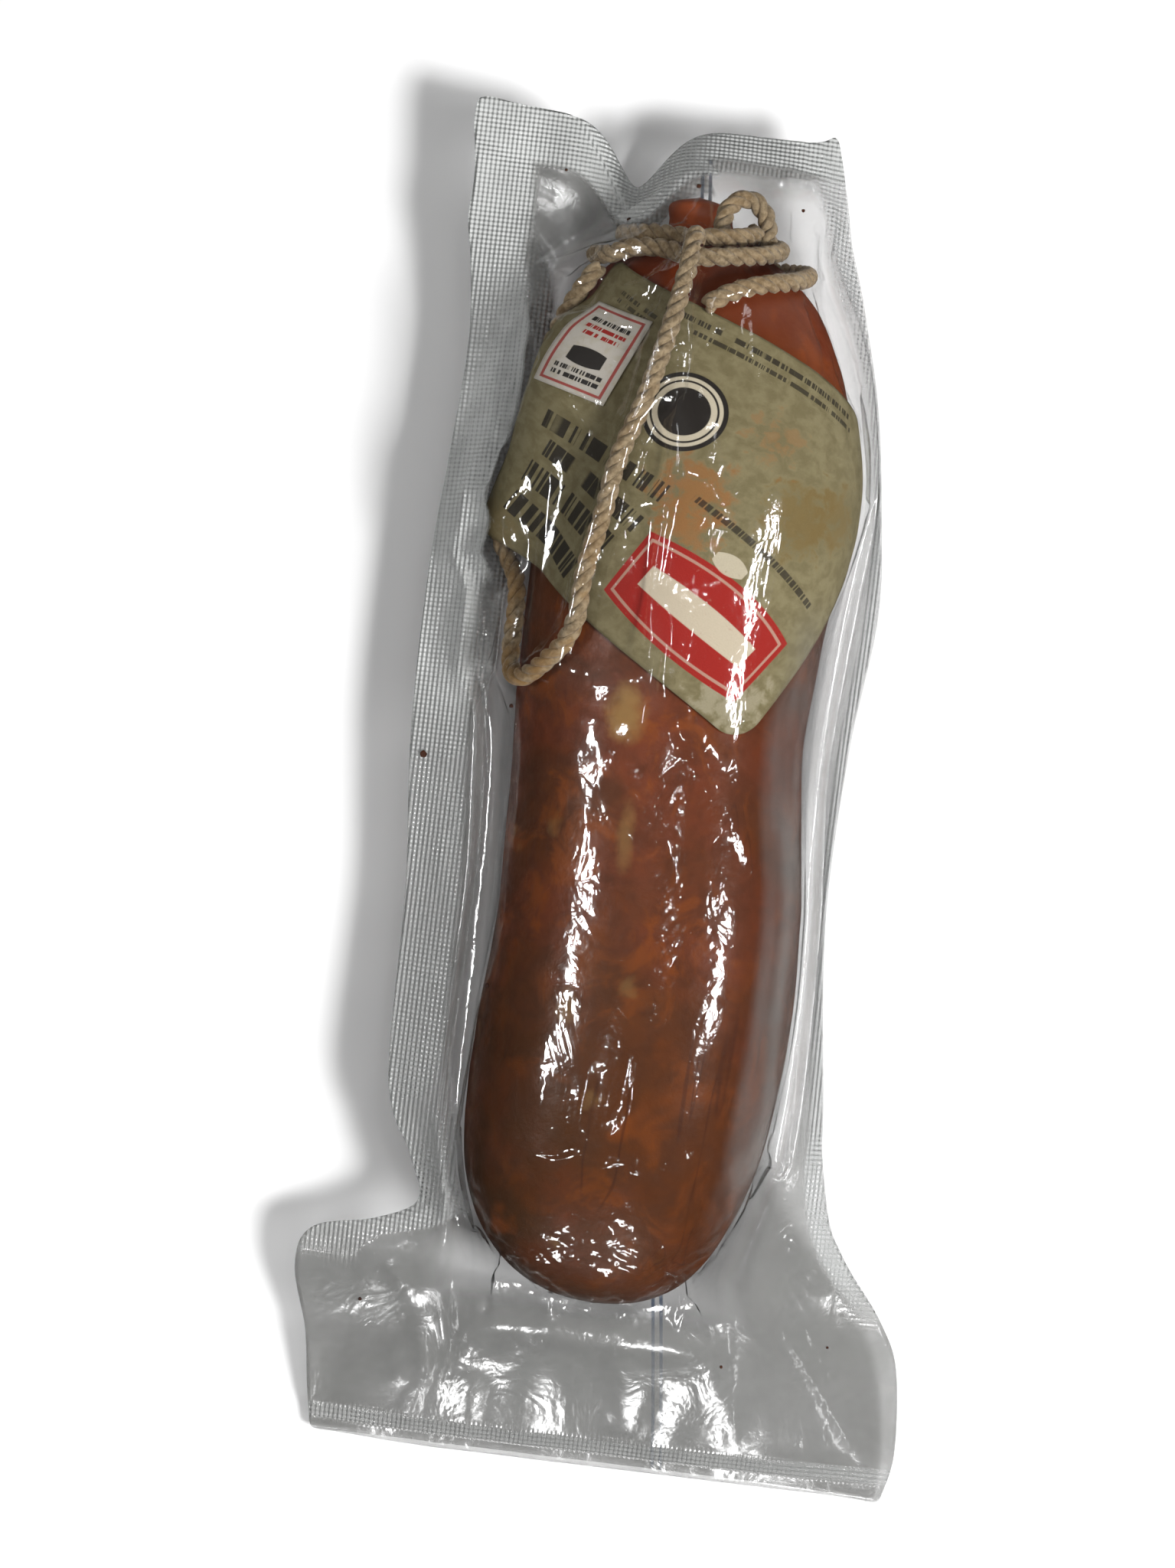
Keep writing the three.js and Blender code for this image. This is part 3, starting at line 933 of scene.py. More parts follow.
def meat_material(settings):
    """Cured meat seen through its casing: marbled, with fat, veins and an olive tail, painted shade
    on its right side and painted light on the nub.
    """
    material, tree, shader = new_material("cured_meat")
    place = object_vector(tree)
    axes = split_axes(tree, place)
    slow = noise_value(tree, place, 32, 3, 0.55, 0.4)
    fine = noise_value(tree, place, 190, 4, 0.6, 0.2)
    colour = mixed(
        tree, ranged(tree, slow, 0.38, 0.62), settings.meat_red, settings.meat_brown
    )
    grain = ranged(tree, fine, 0.35, 0.68)
    colour = mixed(tree, product(tree, grain, 0.5), colour, settings.meat_dark)
    marble = noise_value(tree, place, 85, 4, 0.65, 0.8)
    colour = mixed(
        tree, ranged(tree, marble, 0.5, 0.68, 0.0, 0.65), colour, settings.meat_orange
    )
    colour = mixed(
        tree, ranged(tree, marble, 0.48, 0.3, 0.0, 0.45), colour, settings.meat_dark
    )
    # The tail end and the left side are darker and more olive.
    tailward = ranged(tree, axes[1], 0.01, -0.085)
    leftward = ranged(tree, axes[0], 0.012, -0.026)
    patchy = ranged(tree, slow, 0.3, 0.6, 0.45, 1.0)
    shade = product(tree, tailward, patchy, total(tree, product(tree, leftward, 0.55), 0.4))
    colour = mixed(tree, shade, colour, settings.meat_olive)
    orange = blotches(tree, place, 55, 0.56, 0.68)
    low_end = ranged(tree, axes[1], -0.02, -0.09)
    colour = mixed(tree, product(tree, orange, 0.7, low_end), colour, settings.meat_orange)
    fat = blotches(tree, place, 75, 0.66, 0.76)
    colour = mixed(tree, product(tree, fat, 0.28), colour, settings.fat_colour)
    for x, y, long_side, wide, strength in (
        (-0.0105, 0.0165, 0.006, 0.004, 0.8),
        (-0.0075, -0.0065, 0.0075, 0.002, 0.4),
        (-0.0145, -0.0395, 0.004, 0.0022, 0.3),
    ):
        spot = stretched(
            tree,
            place,
            (1 / wide, 1 / long_side, 0.0),
            place=(-x / wide, -y / long_side, 0),
        )
        spread = add(
            tree, "ShaderNodeVectorMath", {0: spot}, operation="LENGTH"
        ).outputs["Value"]
        rag = product(tree, calc(tree, "SUBTRACT", fine, 0.5), 1.2)
        ragged = total(tree, spread, rag)
        on_top = ranged(tree, axes[2], 0.02, 0.03)
        mask = product(tree, ranged(tree, ragged, 1.15, 0.35), on_top)
        colour = mixed(tree, product(tree, mask, strength), colour, settings.fat_colour)
    # Thin dark veins run lengthways under the casing.
    wander = add(
        tree,
        "ShaderNodeVectorMath",
        {0: stretched(tree, place, (1, 0.18, 1)), 3: 1.0},
        operation="SCALE",
    ).outputs[0]
    vein_noise = noise_value(tree, wander, 46, 3, 0.6, 0.9)
    off_vein = calc(tree, "ABSOLUTE", calc(tree, "SUBTRACT", vein_noise, 0.5))
    vein = ranged(tree, off_vein, 0.008, 0.0)
    where = blotches(tree, place, 28, 0.5, 0.62)
    vein = product(tree, vein, where, 0.5)
    colour = mixed(tree, vein, colour, settings.vein_colour)
    # The casing past the tie and the shoulders is a clearer red. The nub's lighter orange is partly
    # its own colour and partly painted light, as the nub sits in shade.
    neck = ranged(tree, axes[1], 0.068, 0.104)
    colour = mixed(tree, product(tree, neck, 0.6), colour, settings.neck_colour)
    colour = mixed(tree, ranged(tree, axes[1], 0.110, 0.113, 0.0, 0.8), colour, settings.nub_red_and_painted_light)
    # The right side is painted darker than the left: painted shade that evens out the key lamp's
    # stronger light on that side.
    right_painted_shade = ranged(tree, axes[0], -0.02, 0.024, 0.0, 0.42)
    right_painted_shade = product(tree, right_painted_shade, ranged(tree, axes[1], 0.1, 0.05))
    colour = mixed(tree, right_painted_shade, colour, settings.meat_right_painted_shade)
    rough = ranged(tree, fine, 0.3, 0.7, 0.34, 0.52)
    wrinkles = noise_value(tree, place, 420, 3, 0.6)
    lumps = total(tree, product(tree, wrinkles, 0.35), fine)
    normal = bumped(tree, lumps, 0.35, 0.0006)
    drive(
        tree,
        shader,
        {"Base Color": colour, "Roughness": rough, "Normal": normal},
        Specular_IOR_Level=0.35,
    )
    return material


def twine_material(settings):
    """Pale twine, soaked with oil in its low loop."""
    material, tree, shader = new_material("twine_fibre")
    place = object_vector(tree)
    fine = noise_value(tree, place, 900, 3, 0.6, 0.3)
    slow = noise_value(tree, place, 90, 3, 0.6, 0.2)
    colour = mixed(tree, ranged(tree, fine, 0.3, 0.7), settings.twine_dark, settings.twine_colour)
    axes = split_axes(tree, place)
    low_loop = ranged(tree, axes[1], 0.052, 0.03)
    soaked = total(tree, product(tree, low_loop, 0.6), 0.18)
    oil = product(tree, ranged(tree, slow, 0.42, 0.6), soaked)
    colour = mixed(tree, oil, colour, settings.twine_stain)
    normal = bumped(tree, fine, 0.8, 0.0004)
    drive(
        tree,
        shader,
        {"Base Color": colour, "Normal": normal},
        Roughness=0.85,
        Specular_IOR_Level=0.25,
        Sheen_Weight=0.15,
    )
    return material


def label_material(settings):
    """Beige paper with oil stains and generic printing."""
    material, tree, shader = new_material("label_paper")
    flat = uv_millimetres(tree, LABEL_SIZE)
    place = object_vector(tree)
    mottle = noise_value(tree, flat, 0.35, 4, 0.6, 0.3)
    fibre = noise_value(tree, flat, 3.5, 3, 0.6)
    colour = mixed(tree, ranged(tree, mottle, 0.35, 0.65), settings.paper, settings.paper_dark)
    # Oil from the sausage has soaked in.
    for centre, radius, tint, strength in (
        ((35, 30), 8.0, settings.stain_orange, 0.9),
        ((38, 24.5), 6.0, settings.stain_orange, 0.75),
        ((52, 37), 8.5, settings.stain_olive, 0.8),
        ((58, 42), 7.0, settings.stain_olive, 0.7),
        ((41, 47.5), 4.5, settings.stain_orange, 0.45),
        ((66, 5), 8.0, settings.stain_pale, 0.75),
        ((60, 10), 5.0, settings.stain_pale, 0.5),
        ((4, 3), 8.0, settings.stain_olive, 0.5),
    ):
        far = add(
            tree,
            "ShaderNodeVectorMath",
            {0: flat, 1: (centre[0], centre[1], 0)},
            operation="DISTANCE",
        ).outputs["Value"]
        spill = product(tree, calc(tree, "SUBTRACT", mottle, 0.5), 26.0)
        mask = ranged(tree, total(tree, far, spill), radius, radius * 0.35)
        colour = mixed(tree, product(tree, mask, strength), colour, tint)
    # Generic printing: a plain panel, plain rings and rows of plain strokes.
    ink = settings.ink
    worn = ranged(tree, noise_value(tree, flat, 0.8, 4, 0.7), 0.62, 0.74)
    sound = calc(tree, "SUBTRACT", 1.0, product(tree, worn, 0.6))
    for centre, wide, tall, turn, bulge, tint, strength in (
        ((49.8, 13.0), 16.6, 7.0, 2.4, 1.7, settings.panel_red, 1.0),
        ((49.8, 13.0), 15.6, 6.1, 2.4, 1.6, settings.print_pale, 0.5),
        ((49.8, 13.0), 15.1, 5.6, 2.4, 1.6, settings.panel_red, 1.0),
        ((49.8, 13.0), 12.2, 2.2, 2.4, 0.5, settings.print_pale, 0.95),
        ((47.8, 23.4), 3.2, 0.8, 0.0, 1.1, settings.print_pale, 0.85),
    ):
        shape, _ = bar(tree, flat, centre, wide, tall, turn, bulge)
        share = product(tree, shape, sound, strength)
        colour = mixed(tree, share, colour, tint)
    even = stretched(tree, flat, (1.2, 0.97, 1))
    for radius, tint in (
        (7.9, ink),
        (7.0, settings.print_pale),
        (6.3, ink),
        (5.9, settings.print_pale),
        (4.8, ink),
    ):
        colour = mixed(tree, disc(tree, even, (31.8, 42.3), radius), colour, tint)
    for centre, wide, tall, turn, stroke, strength in (
        ((19.0, 28.3), 12.5, 1.9, 2, 0.62, 0.9),
        ((20.0, 21.8), 11.5, 1.9, 8, 0.62, 0.9),
        ((17.5, 15.4), 11.0, 2.5, 9, 0.8, 0.9),
        ((15.0, 7.6), 9.5, 2.5, 14, 0.8, 0.9),
        ((34.0, 61.7), 18.0, 0.6, 0, 0.3, 0.85),
        ((37.0, 59.3), 16.0, 0.5, 0, 0.3, 0.8),
        ((50.5, 28.6), 15.0, 0.65, 6, 0.5, 0.8),
        ((11.0, 57.4), 4.5, 0.5, 10, 0.3, 0.7),
        ((11.0, 59.2), 4.5, 0.5, 10, 0.3, 0.7),
    ):
        block, axes = bar(tree, flat, centre, wide, tall, turn)
        marks = strokes(tree, axes, stroke, centre[1])
        mask = product(tree, block, marks, strength)
        colour = mixed(tree, mask, colour, ink)
    grey_fibre = mixed(tree, fibre, (0, 0, 0, 1), (1, 1, 1, 1))
    darkened = mixed(tree, 0.14, colour, grey_fibre, "OVERLAY")
    creases = noise_value(tree, place, 130, 3, 0.5, 0.6)
    height = total(tree, product(tree, fibre, 0.25), creases)
    normal = bumped(tree, height, 0.35, 0.0005)
    drive(
        tree,
        shader,
        {"Base Color": darkened, "Normal": normal},
        Roughness=0.72,
        Specular_IOR_Level=0.25,
    )
    return material


def sticker_material(settings):
    """Pale paper with a plain red border and rows of plain strokes."""
    material, tree, shader = new_material("sticker_paper")
    flat = uv_millimetres(tree, STICKER_SIZE)
    mottle = noise_value(tree, flat, 0.6, 3, 0.6)
    shade = ranged(tree, mottle, 0.4, 0.7)
    colour = mixed(tree, shade, settings.sticker_white, settings.sticker_shade)
    wide = STICKER_SIZE[0] / 2
    tall = STICKER_SIZE[1] / 2
    middle = (wide, tall)
    outer, _ = bar(tree, flat, middle, wide - 1.0, tall - 1.0, 0)
    inner, _ = bar(tree, flat, middle, wide - 1.6, tall - 1.6, 0)
    border = calc(tree, "SUBTRACT", outer, inner)
    colour = mixed(tree, product(tree, border, 0.9), colour, settings.panel_red)
    dark, _ = bar(tree, flat, (wide, tall - 2.2), 3.2, 1.5, 0, 0.6)
    colour = mixed(tree, dark, colour, settings.ink)
    for centre, half, high, tint in (
        ((wide, tall + 6.2), 4.2, 0.55, settings.ink),
        ((wide, tall + 4.4), 4.2, 0.45, settings.panel_red),
        ((wide, tall + 2.8), 3.6, 0.45, settings.panel_red),
        ((wide, tall - 5.6), 4.4, 0.5, settings.ink),
        ((wide, tall - 7.2), 4.4, 0.5, settings.ink),
    ):
        block, axes = bar(tree, flat, centre, half, high, 0)
        marks = strokes(tree, axes, 0.35, centre[1])
        colour = mixed(tree, product(tree, block, marks), colour, tint)
    normal = bumped(tree, mottle, 0.2, 0.0003)
    drive(tree, shader, {"Base Color": colour, "Normal": normal}, Roughness=0.6)
    return material


def film_material(name, settings, lap_seam):
    """Clear film: see-through where it is pressed on something, greyer where it is sealed, and
    whiter where a painted sheen is laid on the seals.
    """
    material, tree, shader = new_material(name)
    place = object_vector(tree)
    # The haze attribute holds the film's own milkiness plus a painted sheen on some seals.
    haze_and_painted_sheen = add(tree, "ShaderNodeAttribute", attribute_name="haze_and_painted_sheen").outputs["Fac"]
    seal = add(tree, "ShaderNodeAttribute", attribute_name="seal").outputs["Fac"]
    slack = add(tree, "ShaderNodeAttribute", attribute_name="slack").outputs["Fac"]
    # The embossed grid of the seals.
    grid = stretched(tree, place, (1, 1, 1), (0, 0, math.radians(45)))
    parts = split_axes(tree, grid)
    pitch = 2 * math.pi / settings.emboss_pitch
    rows = calc(tree, "SINE", product(tree, parts[0], pitch))
    columns = calc(tree, "SINE", product(tree, parts[1], pitch))
    emboss = product(tree, rows, columns, seal)
    ripple = noise_value(tree, place, 260, 3, 0.55, 0.5)
    crumple = noise_value(tree, stretched(tree, place, (1, 0.6, 1)), 75, 3, 0.6, 1.2)
    height = total(tree, emboss, product(tree, ripple, 0.3), product(tree, crumple, 0.9))
    depth = product(tree, height, ranged(tree, slack, 0.0, 1.0, 0.85, 1.0))
    normal = bumped(tree, depth, 0.6, 0.0009)
    cloud = noise_value(tree, place, 60, 3, 0.6, 0.4)
    spread = ranged(tree, cloud, 0.25, 0.8, 0.75, 1.25)
    opacity = calc(tree, "MULTIPLY", haze_and_painted_sheen, spread, clamp=True)
    # The seals' pale colour is partly their own milky white and partly painted sheen.
    milk = mixed(tree, seal, settings.film_grey, settings.seal_grey_and_painted_sheen)
    if lap_seam:
        axes = split_axes(tree, place)
        courses = [
            total(tree, product(tree, axes[1], slope), offset)
            for slope, offset in (SEAM_LOW, SEAM_HIGH)
        ]
        upper = ranged(tree, axes[1], -0.05, 0.05)
        lower = calc(tree, "SUBTRACT", 1.0, upper)
        line = total(tree, product(tree, courses[0], lower), product(tree, courses[1], upper))
        away = calc(tree, "SUBTRACT", axes[0], line)
        lines = None
        for offset in (-0.0008, 0.0008):
            near = calc(tree, "ABSOLUTE", calc(tree, "SUBTRACT", away, offset))
            mask = ranged(tree, near, 0.0005, 0.0002)
            lines = mask if lines is None else calc(tree, "MAXIMUM", lines, mask)
        milk = mixed(tree, lines, milk, settings.seam_blue)
        opacity = calc(tree, "MAXIMUM", opacity, product(tree, lines, 0.65))
    drive(
        tree,
        shader,
        {"Base Color": milk, "Normal": normal},
        Roughness=0.35,
        Specular_IOR_Level=0.3,
    )
    clear = tree.nodes.new("ShaderNodeBsdfTransparent")
    body = add(tree, "ShaderNodeMixShader", {0: opacity, 1: clear.outputs[0], 2: shader.outputs[0]})
    flat = ranged(tree, slack, 0.6, 1.0)
    roughness = total(tree, product(tree, flat, 0.1), settings.film_roughness)
    gloss = add(
        tree,
        "ShaderNodeBsdfGlossy",
        {"Color": (1, 1, 1, 1), "Roughness": roughness, "Normal": normal},
    )
    facing = add(tree, "ShaderNodeLayerWeight", {"Blend": 0.5, "Normal": normal}).outputs["Facing"]
    fifth = calc(tree, "POWER", facing, 5.0)
    face_on = product(tree, total(tree, flat, 1.0), settings.film_shine)
    shine = calc(tree, "ADD", product(tree, fifth, 0.35), face_on, clamp=True)
    film = add(tree, "ShaderNodeMixShader", {0: shine, 1: body.outputs[0], 2: gloss.outputs[0]})
    output = tree.nodes["Material Output"]
    tree.links.new(film.outputs[0], output.inputs["Surface"])
    return material


def crumb_material(settings):
    material, tree, shader = new_material("crumb")
    place = object_vector(tree)
    fine = noise_value(tree, place, 700, 2, 0.5)
    colour = mixed(tree, ranged(tree, fine, 0.4, 0.6), settings.meat_dark, settings.vein_colour)
    drive(tree, shader, {"Base Color": colour}, Roughness=0.6)
    return material


def floor_material(settings):
    material, tree, shader = new_material("studio_floor")
    place = object_vector(tree)
    fine = noise_value(tree, place, 40, 2, 0.5)
    pale = settings.floor_colour
    colour = mixed(tree, product(tree, fine, 0.02), pale, (0.8, 0.8, 0.8, 1))
    drive(tree, shader, {"Base Color": colour}, Roughness=0.9, Specular_IOR_Level=0.0)
    return material


# ---------------------------------------------------------------------------
# Films.

SIM_SCALE = 10.0
SIM_GRID = (76, 180)
FILM_GRID = (128, 264)


def film_start(side, u, v, lift):
    """A film's middle before it settles, in millimetres, with its flange facts."""
    middle, belly, outward, span = film_course(side, u, v)
    along = points(u * FILM_SIZE[0], v * FILM_SIZE[1], 0 * u)
    ripple = 0.25 * rumple(along * np.array([1, 0.4, 1]), 4.2, 31)
    ripple += 0.7 * rumple(along * np.array([0.6, 1, 1]), 13, 32)
    ends = np.maximum(1 - smooth(-112, -99, middle[..., 1]), smooth(118, 126, middle[..., 1]))
    loose = np.maximum(smooth(0.12, 0.5, outward), ends)
    middle[..., 2] += loose * (ripple + folds(middle) - 0.4)
    normal = normal_of(lambda a, b: film_course(side, a, b)[0], u, v, 0.004, 0.004)
    place = middle + normal * (side * (settings_of().seal_gap / MM / 2 + lift)[..., None])
    place[..., 2] = np.maximum(place[..., 2] + side * belly, 0.1)
    return place, outward, span


def settings_of():
    return bpy.context.scene.sausage_pack


def contents_tree(settings):
    """A search tree over everything in the pouch, in metres, the twine as plain tubes."""
    vertices, faces = [], []

    def gather(mesh):
        start = len(vertices)
        vertices.extend(vertex.co.copy() for vertex in mesh.vertices)
        faces.extend([start + i for i in face.vertices] for face in mesh.polygons)

    for name in ("sausage_casing", "paper_label_sheet", "seal_sticker_sheet"):
        piece = bpy.data.objects[name]
        evaluated = piece.evaluated_get(bpy.context.evaluated_depsgraph_get())
        gather(evaluated.to_mesh())
        evaluated.to_mesh_clear()
    radius = settings.twine_diameter / MM * 0.53
    routes = [twine_route(NECK_TIE), even_route(TOP_LOOP), twine_route(HANGING_LOOP)]
    bm = tubes_bmesh([(line, np.full(len(line), radius)) for line in routes], 10)
    mesh = bpy.data.meshes.new("plain_twine")
    bm.to_mesh(mesh)
    bm.free()
    gather(mesh)
    bpy.data.meshes.remove(mesh)
    return BVHTree.FromPolygons(vertices, faces)


def contents_block(tree):
    """One thick solid that hugs the contents, for the film to settle on."""
    profile = [(0, -98.9)] + [(1, y) for y in np.linspace(-98.4, 122.4, 200)] + [(0, 122.6)]
    bm = spin_profile(profile, 120)
    for vertex in bm.verts:
        x, y, z = vertex.co
        centre_x, centre_z = axis_at(y)
        away = Vector((x, 0, z))
        centre = Vector((centre_x, y, centre_z)) * MM
        if away.length < 0.5:
            vertex.co = centre
            continue
        away.normalize()
        hit = tree.ray_cast(centre + away * 0.07, -away, 0.0697)
        radius = (hit[0] - centre).length if hit[0] is not None else 0.0004
        vertex.co = centre + away * (radius + 0.0002)
    every_axis = {"use_axis_x": True, "use_axis_y": True, "use_axis_z": True}
    bmesh.ops.smooth_vert(bm, verts=bm.verts, factor=0.4, **every_axis)
    bmesh.ops.scale(bm, vec=(SIM_SCALE,) * 3, verts=bm.verts)
    bmesh.ops.recalc_face_normals(bm, faces=bm.faces)
    mesh = bpy.data.meshes.new("contents_block")
    bm.to_mesh(mesh)
    bm.free()
    return scratch_object("contents_block", mesh)


def settle_film(tree, settings):
    """Pulls the front film on to the contents with a cloth simulation; gives its places."""
    across, along = SIM_GRID
    bm, u, v = unit_grid(across, along)
    room = 1.2 * (1 - smooth(0.1, 0.4, np.abs(2 * u - 1) - BODY_SHARE))
    start, outward, _ = film_start(1, u, v, room)
    place_vertices(bm, start * SIM_SCALE)
    mesh = bpy.data.meshes.new("film_sim")
    bm.to_mesh(mesh)
    bm.free()
    film = scratch_object("film_sim", mesh)
    held = smooth(0.1, 0.35, outward)
    held = np.maximum(held, smooth(0.92, 0.955, v))
    held = np.maximum(held, 1 - smooth(0.105, 0.15, v))
    pins = film.vertex_groups.new(name="held")
    for index, weight in enumerate(held):
        if weight > 0.001:
            pins.add([index], float(weight), "REPLACE")
    block = contents_block(tree)
    block.modifiers.new("Collision", "COLLISION")
    block.collision.thickness_outer = 0.003
    block.collision.thickness_inner = 0.05
    block.collision.cloth_friction = 4
    cloth = film.modifiers.new("Cloth", "CLOTH")
    facts = cloth.settings
    facts.quality = 6
    facts.mass = 0.2
    facts.air_damping = 5
    facts.tension_stiffness = 40
    facts.compression_stiffness = 40
    facts.shear_stiffness = 15
    facts.bending_stiffness = 0.05
    facts.tension_damping = 15
    facts.compression_damping = 15
    facts.shear_damping = 10
    facts.bending_damping = 1
    facts.use_pressure = True
    facts.uniform_pressure_force = -settings.vacuum
    facts.shrink_min = settings.tightness
    facts.vertex_group_mass = "held"
    facts.effector_weights.gravity = 0
    touch = cloth.collision_settings
    touch.collision_quality = 3
    touch.distance_min = 0.003
    touch.use_self_collision = False
    cloth.point_cache.frame_start = 1
    cloth.point_cache.frame_end = settings.sim_frames
    scene = bpy.context.scene
    for number in range(1, settings.sim_frames + 1):
        scene.frame_set(number)
    evaluated = film.evaluated_get(bpy.context.evaluated_depsgraph_get())
    settled = evaluated.to_mesh()
    places = np.array([vertex.co for vertex in settled.vertices]) / SIM_SCALE / MM
    evaluated.to_mesh_clear()
    scene.frame_set(1)
    for piece in (film, block):
        old = piece.data
        bpy.data.objects.remove(piece)
        bpy.data.meshes.remove(old)
    return places, u, v


def refine(places, u, v, fine_u, fine_v):
    """Reads a settled coarse grid at finer places, by smooth interpolation."""
    across, along = SIM_GRID
    columns = np.rint(u * across).astype(int)
    rows = np.rint(v * along).astype(int)
    table = np.zeros((along + 1, across + 1, 3))
    table[rows, columns] = places
    return sample_grid(table, fine_u * across, fine_v * along)


def weights(t):
    """The shares of the four neighbours in a smooth line at t between the middle two."""
    return (
        0.5 * (-t + 2 * t**2 - t**3),
        0.5 * (2 - 5 * t**2 + 3 * t**3),
        0.5 * (t + 4 * t**2 - 3 * t**3),
        0.5 * (t**3 - t**2),
    )


def sample_grid(table, a, b):
    """Catmull-Rom interpolation of a table of points at column a and row b."""
    rows, columns, _ = table.shape
    column = np.clip(np.floor(a).astype(int), 0, columns - 2)
    row = np.clip(np.floor(b).astype(int), 0, rows - 2)
    across = weights(a - column)
    along = weights(b - row)
    total = np.zeros(a.shape + (3,))
    for i in range(4):
        at_row = np.clip(row + i - 1, 0, rows - 1)
        for j in range(4):
            at_column = np.clip(column + j - 1, 0, columns - 1)
            share = along[i] * across[j]
            total += share[..., None] * table[at_row, at_column]
    return total


def eased(places, u, v, amount, times):
    """Averages a film's places with their neighbours, as much as amount says, 0 to 1."""
    across, along = FILM_GRID
    columns = np.rint(u * across).astype(int)
    rows = np.rint(v * along).astype(int)
    table = np.zeros((along + 1, across + 1, 3))
    table[rows, columns] = places
    share = np.zeros((along + 1, across + 1, 1))
    share[rows, columns, 0] = 0.5 * amount
    inner = share[1:-1, 1:-1]
    for _ in range(times):
        near = table[:-2, 1:-1] + table[2:, 1:-1] + table[1:-1, :-2] + table[1:-1, 2:]
        table[1:-1, 1:-1] = lerp(table[1:-1, 1:-1], 0.25 * near, inner)
    return table[rows, columns]


def film_piece(name, node, places, facts, settings, material):
    """A film of even thickness over a grid of places, with its shading facts."""
    bm, _, _ = unit_grid(*FILM_GRID)
    place_vertices(bm, places)
    if node == "pouch_back_film":
        bmesh.ops.reverse_faces(bm, faces=bm.faces)
    piece = new_piece(name, bm, "pouch_film", node)
    for label, values in facts.items():
        attribute = piece.data.attributes.new(label, "FLOAT", "POINT")
        attribute.data.foreach_set("value", np.asarray(values, np.float32))
    wall = piece.modifiers.new("Wall", "SOLIDIFY")
    wall.thickness = settings.film_thickness
    wall.offset = 0
    piece.data.materials.append(material)
    return piece


# ---------------------------------------------------------------------------
# Settings.

LENGTH = {"unit": "LENGTH", "subtype": "DISTANCE"}


def length_prop(name, description, default, low=0.0, high=1.0):
    return bpy.props.FloatProperty(
        name=name,
        description=description,
        default=default,
        min=low,
        max=high,
        precision=5,
        **LENGTH,
    )


def linear_light(level):
    """A screen colour's level as linear light, both from 0 to 1."""
    if level > 0.04:
        return ((level + 0.055) / 1.055) ** 2.4
    return level / 12.92


def colour_prop(name, description, red, green, blue):
    """A colour given as the three numbers of a screen colour, kept as linear light."""
    linear = [linear_light(level / 255) for level in (red, green, blue)]
    return bpy.props.FloatVectorProperty(
        name=name,
        description=description,
        subtype="COLOR",
        size=4,
        min=0,
        max=1,
        default=(*linear, 1),
    )


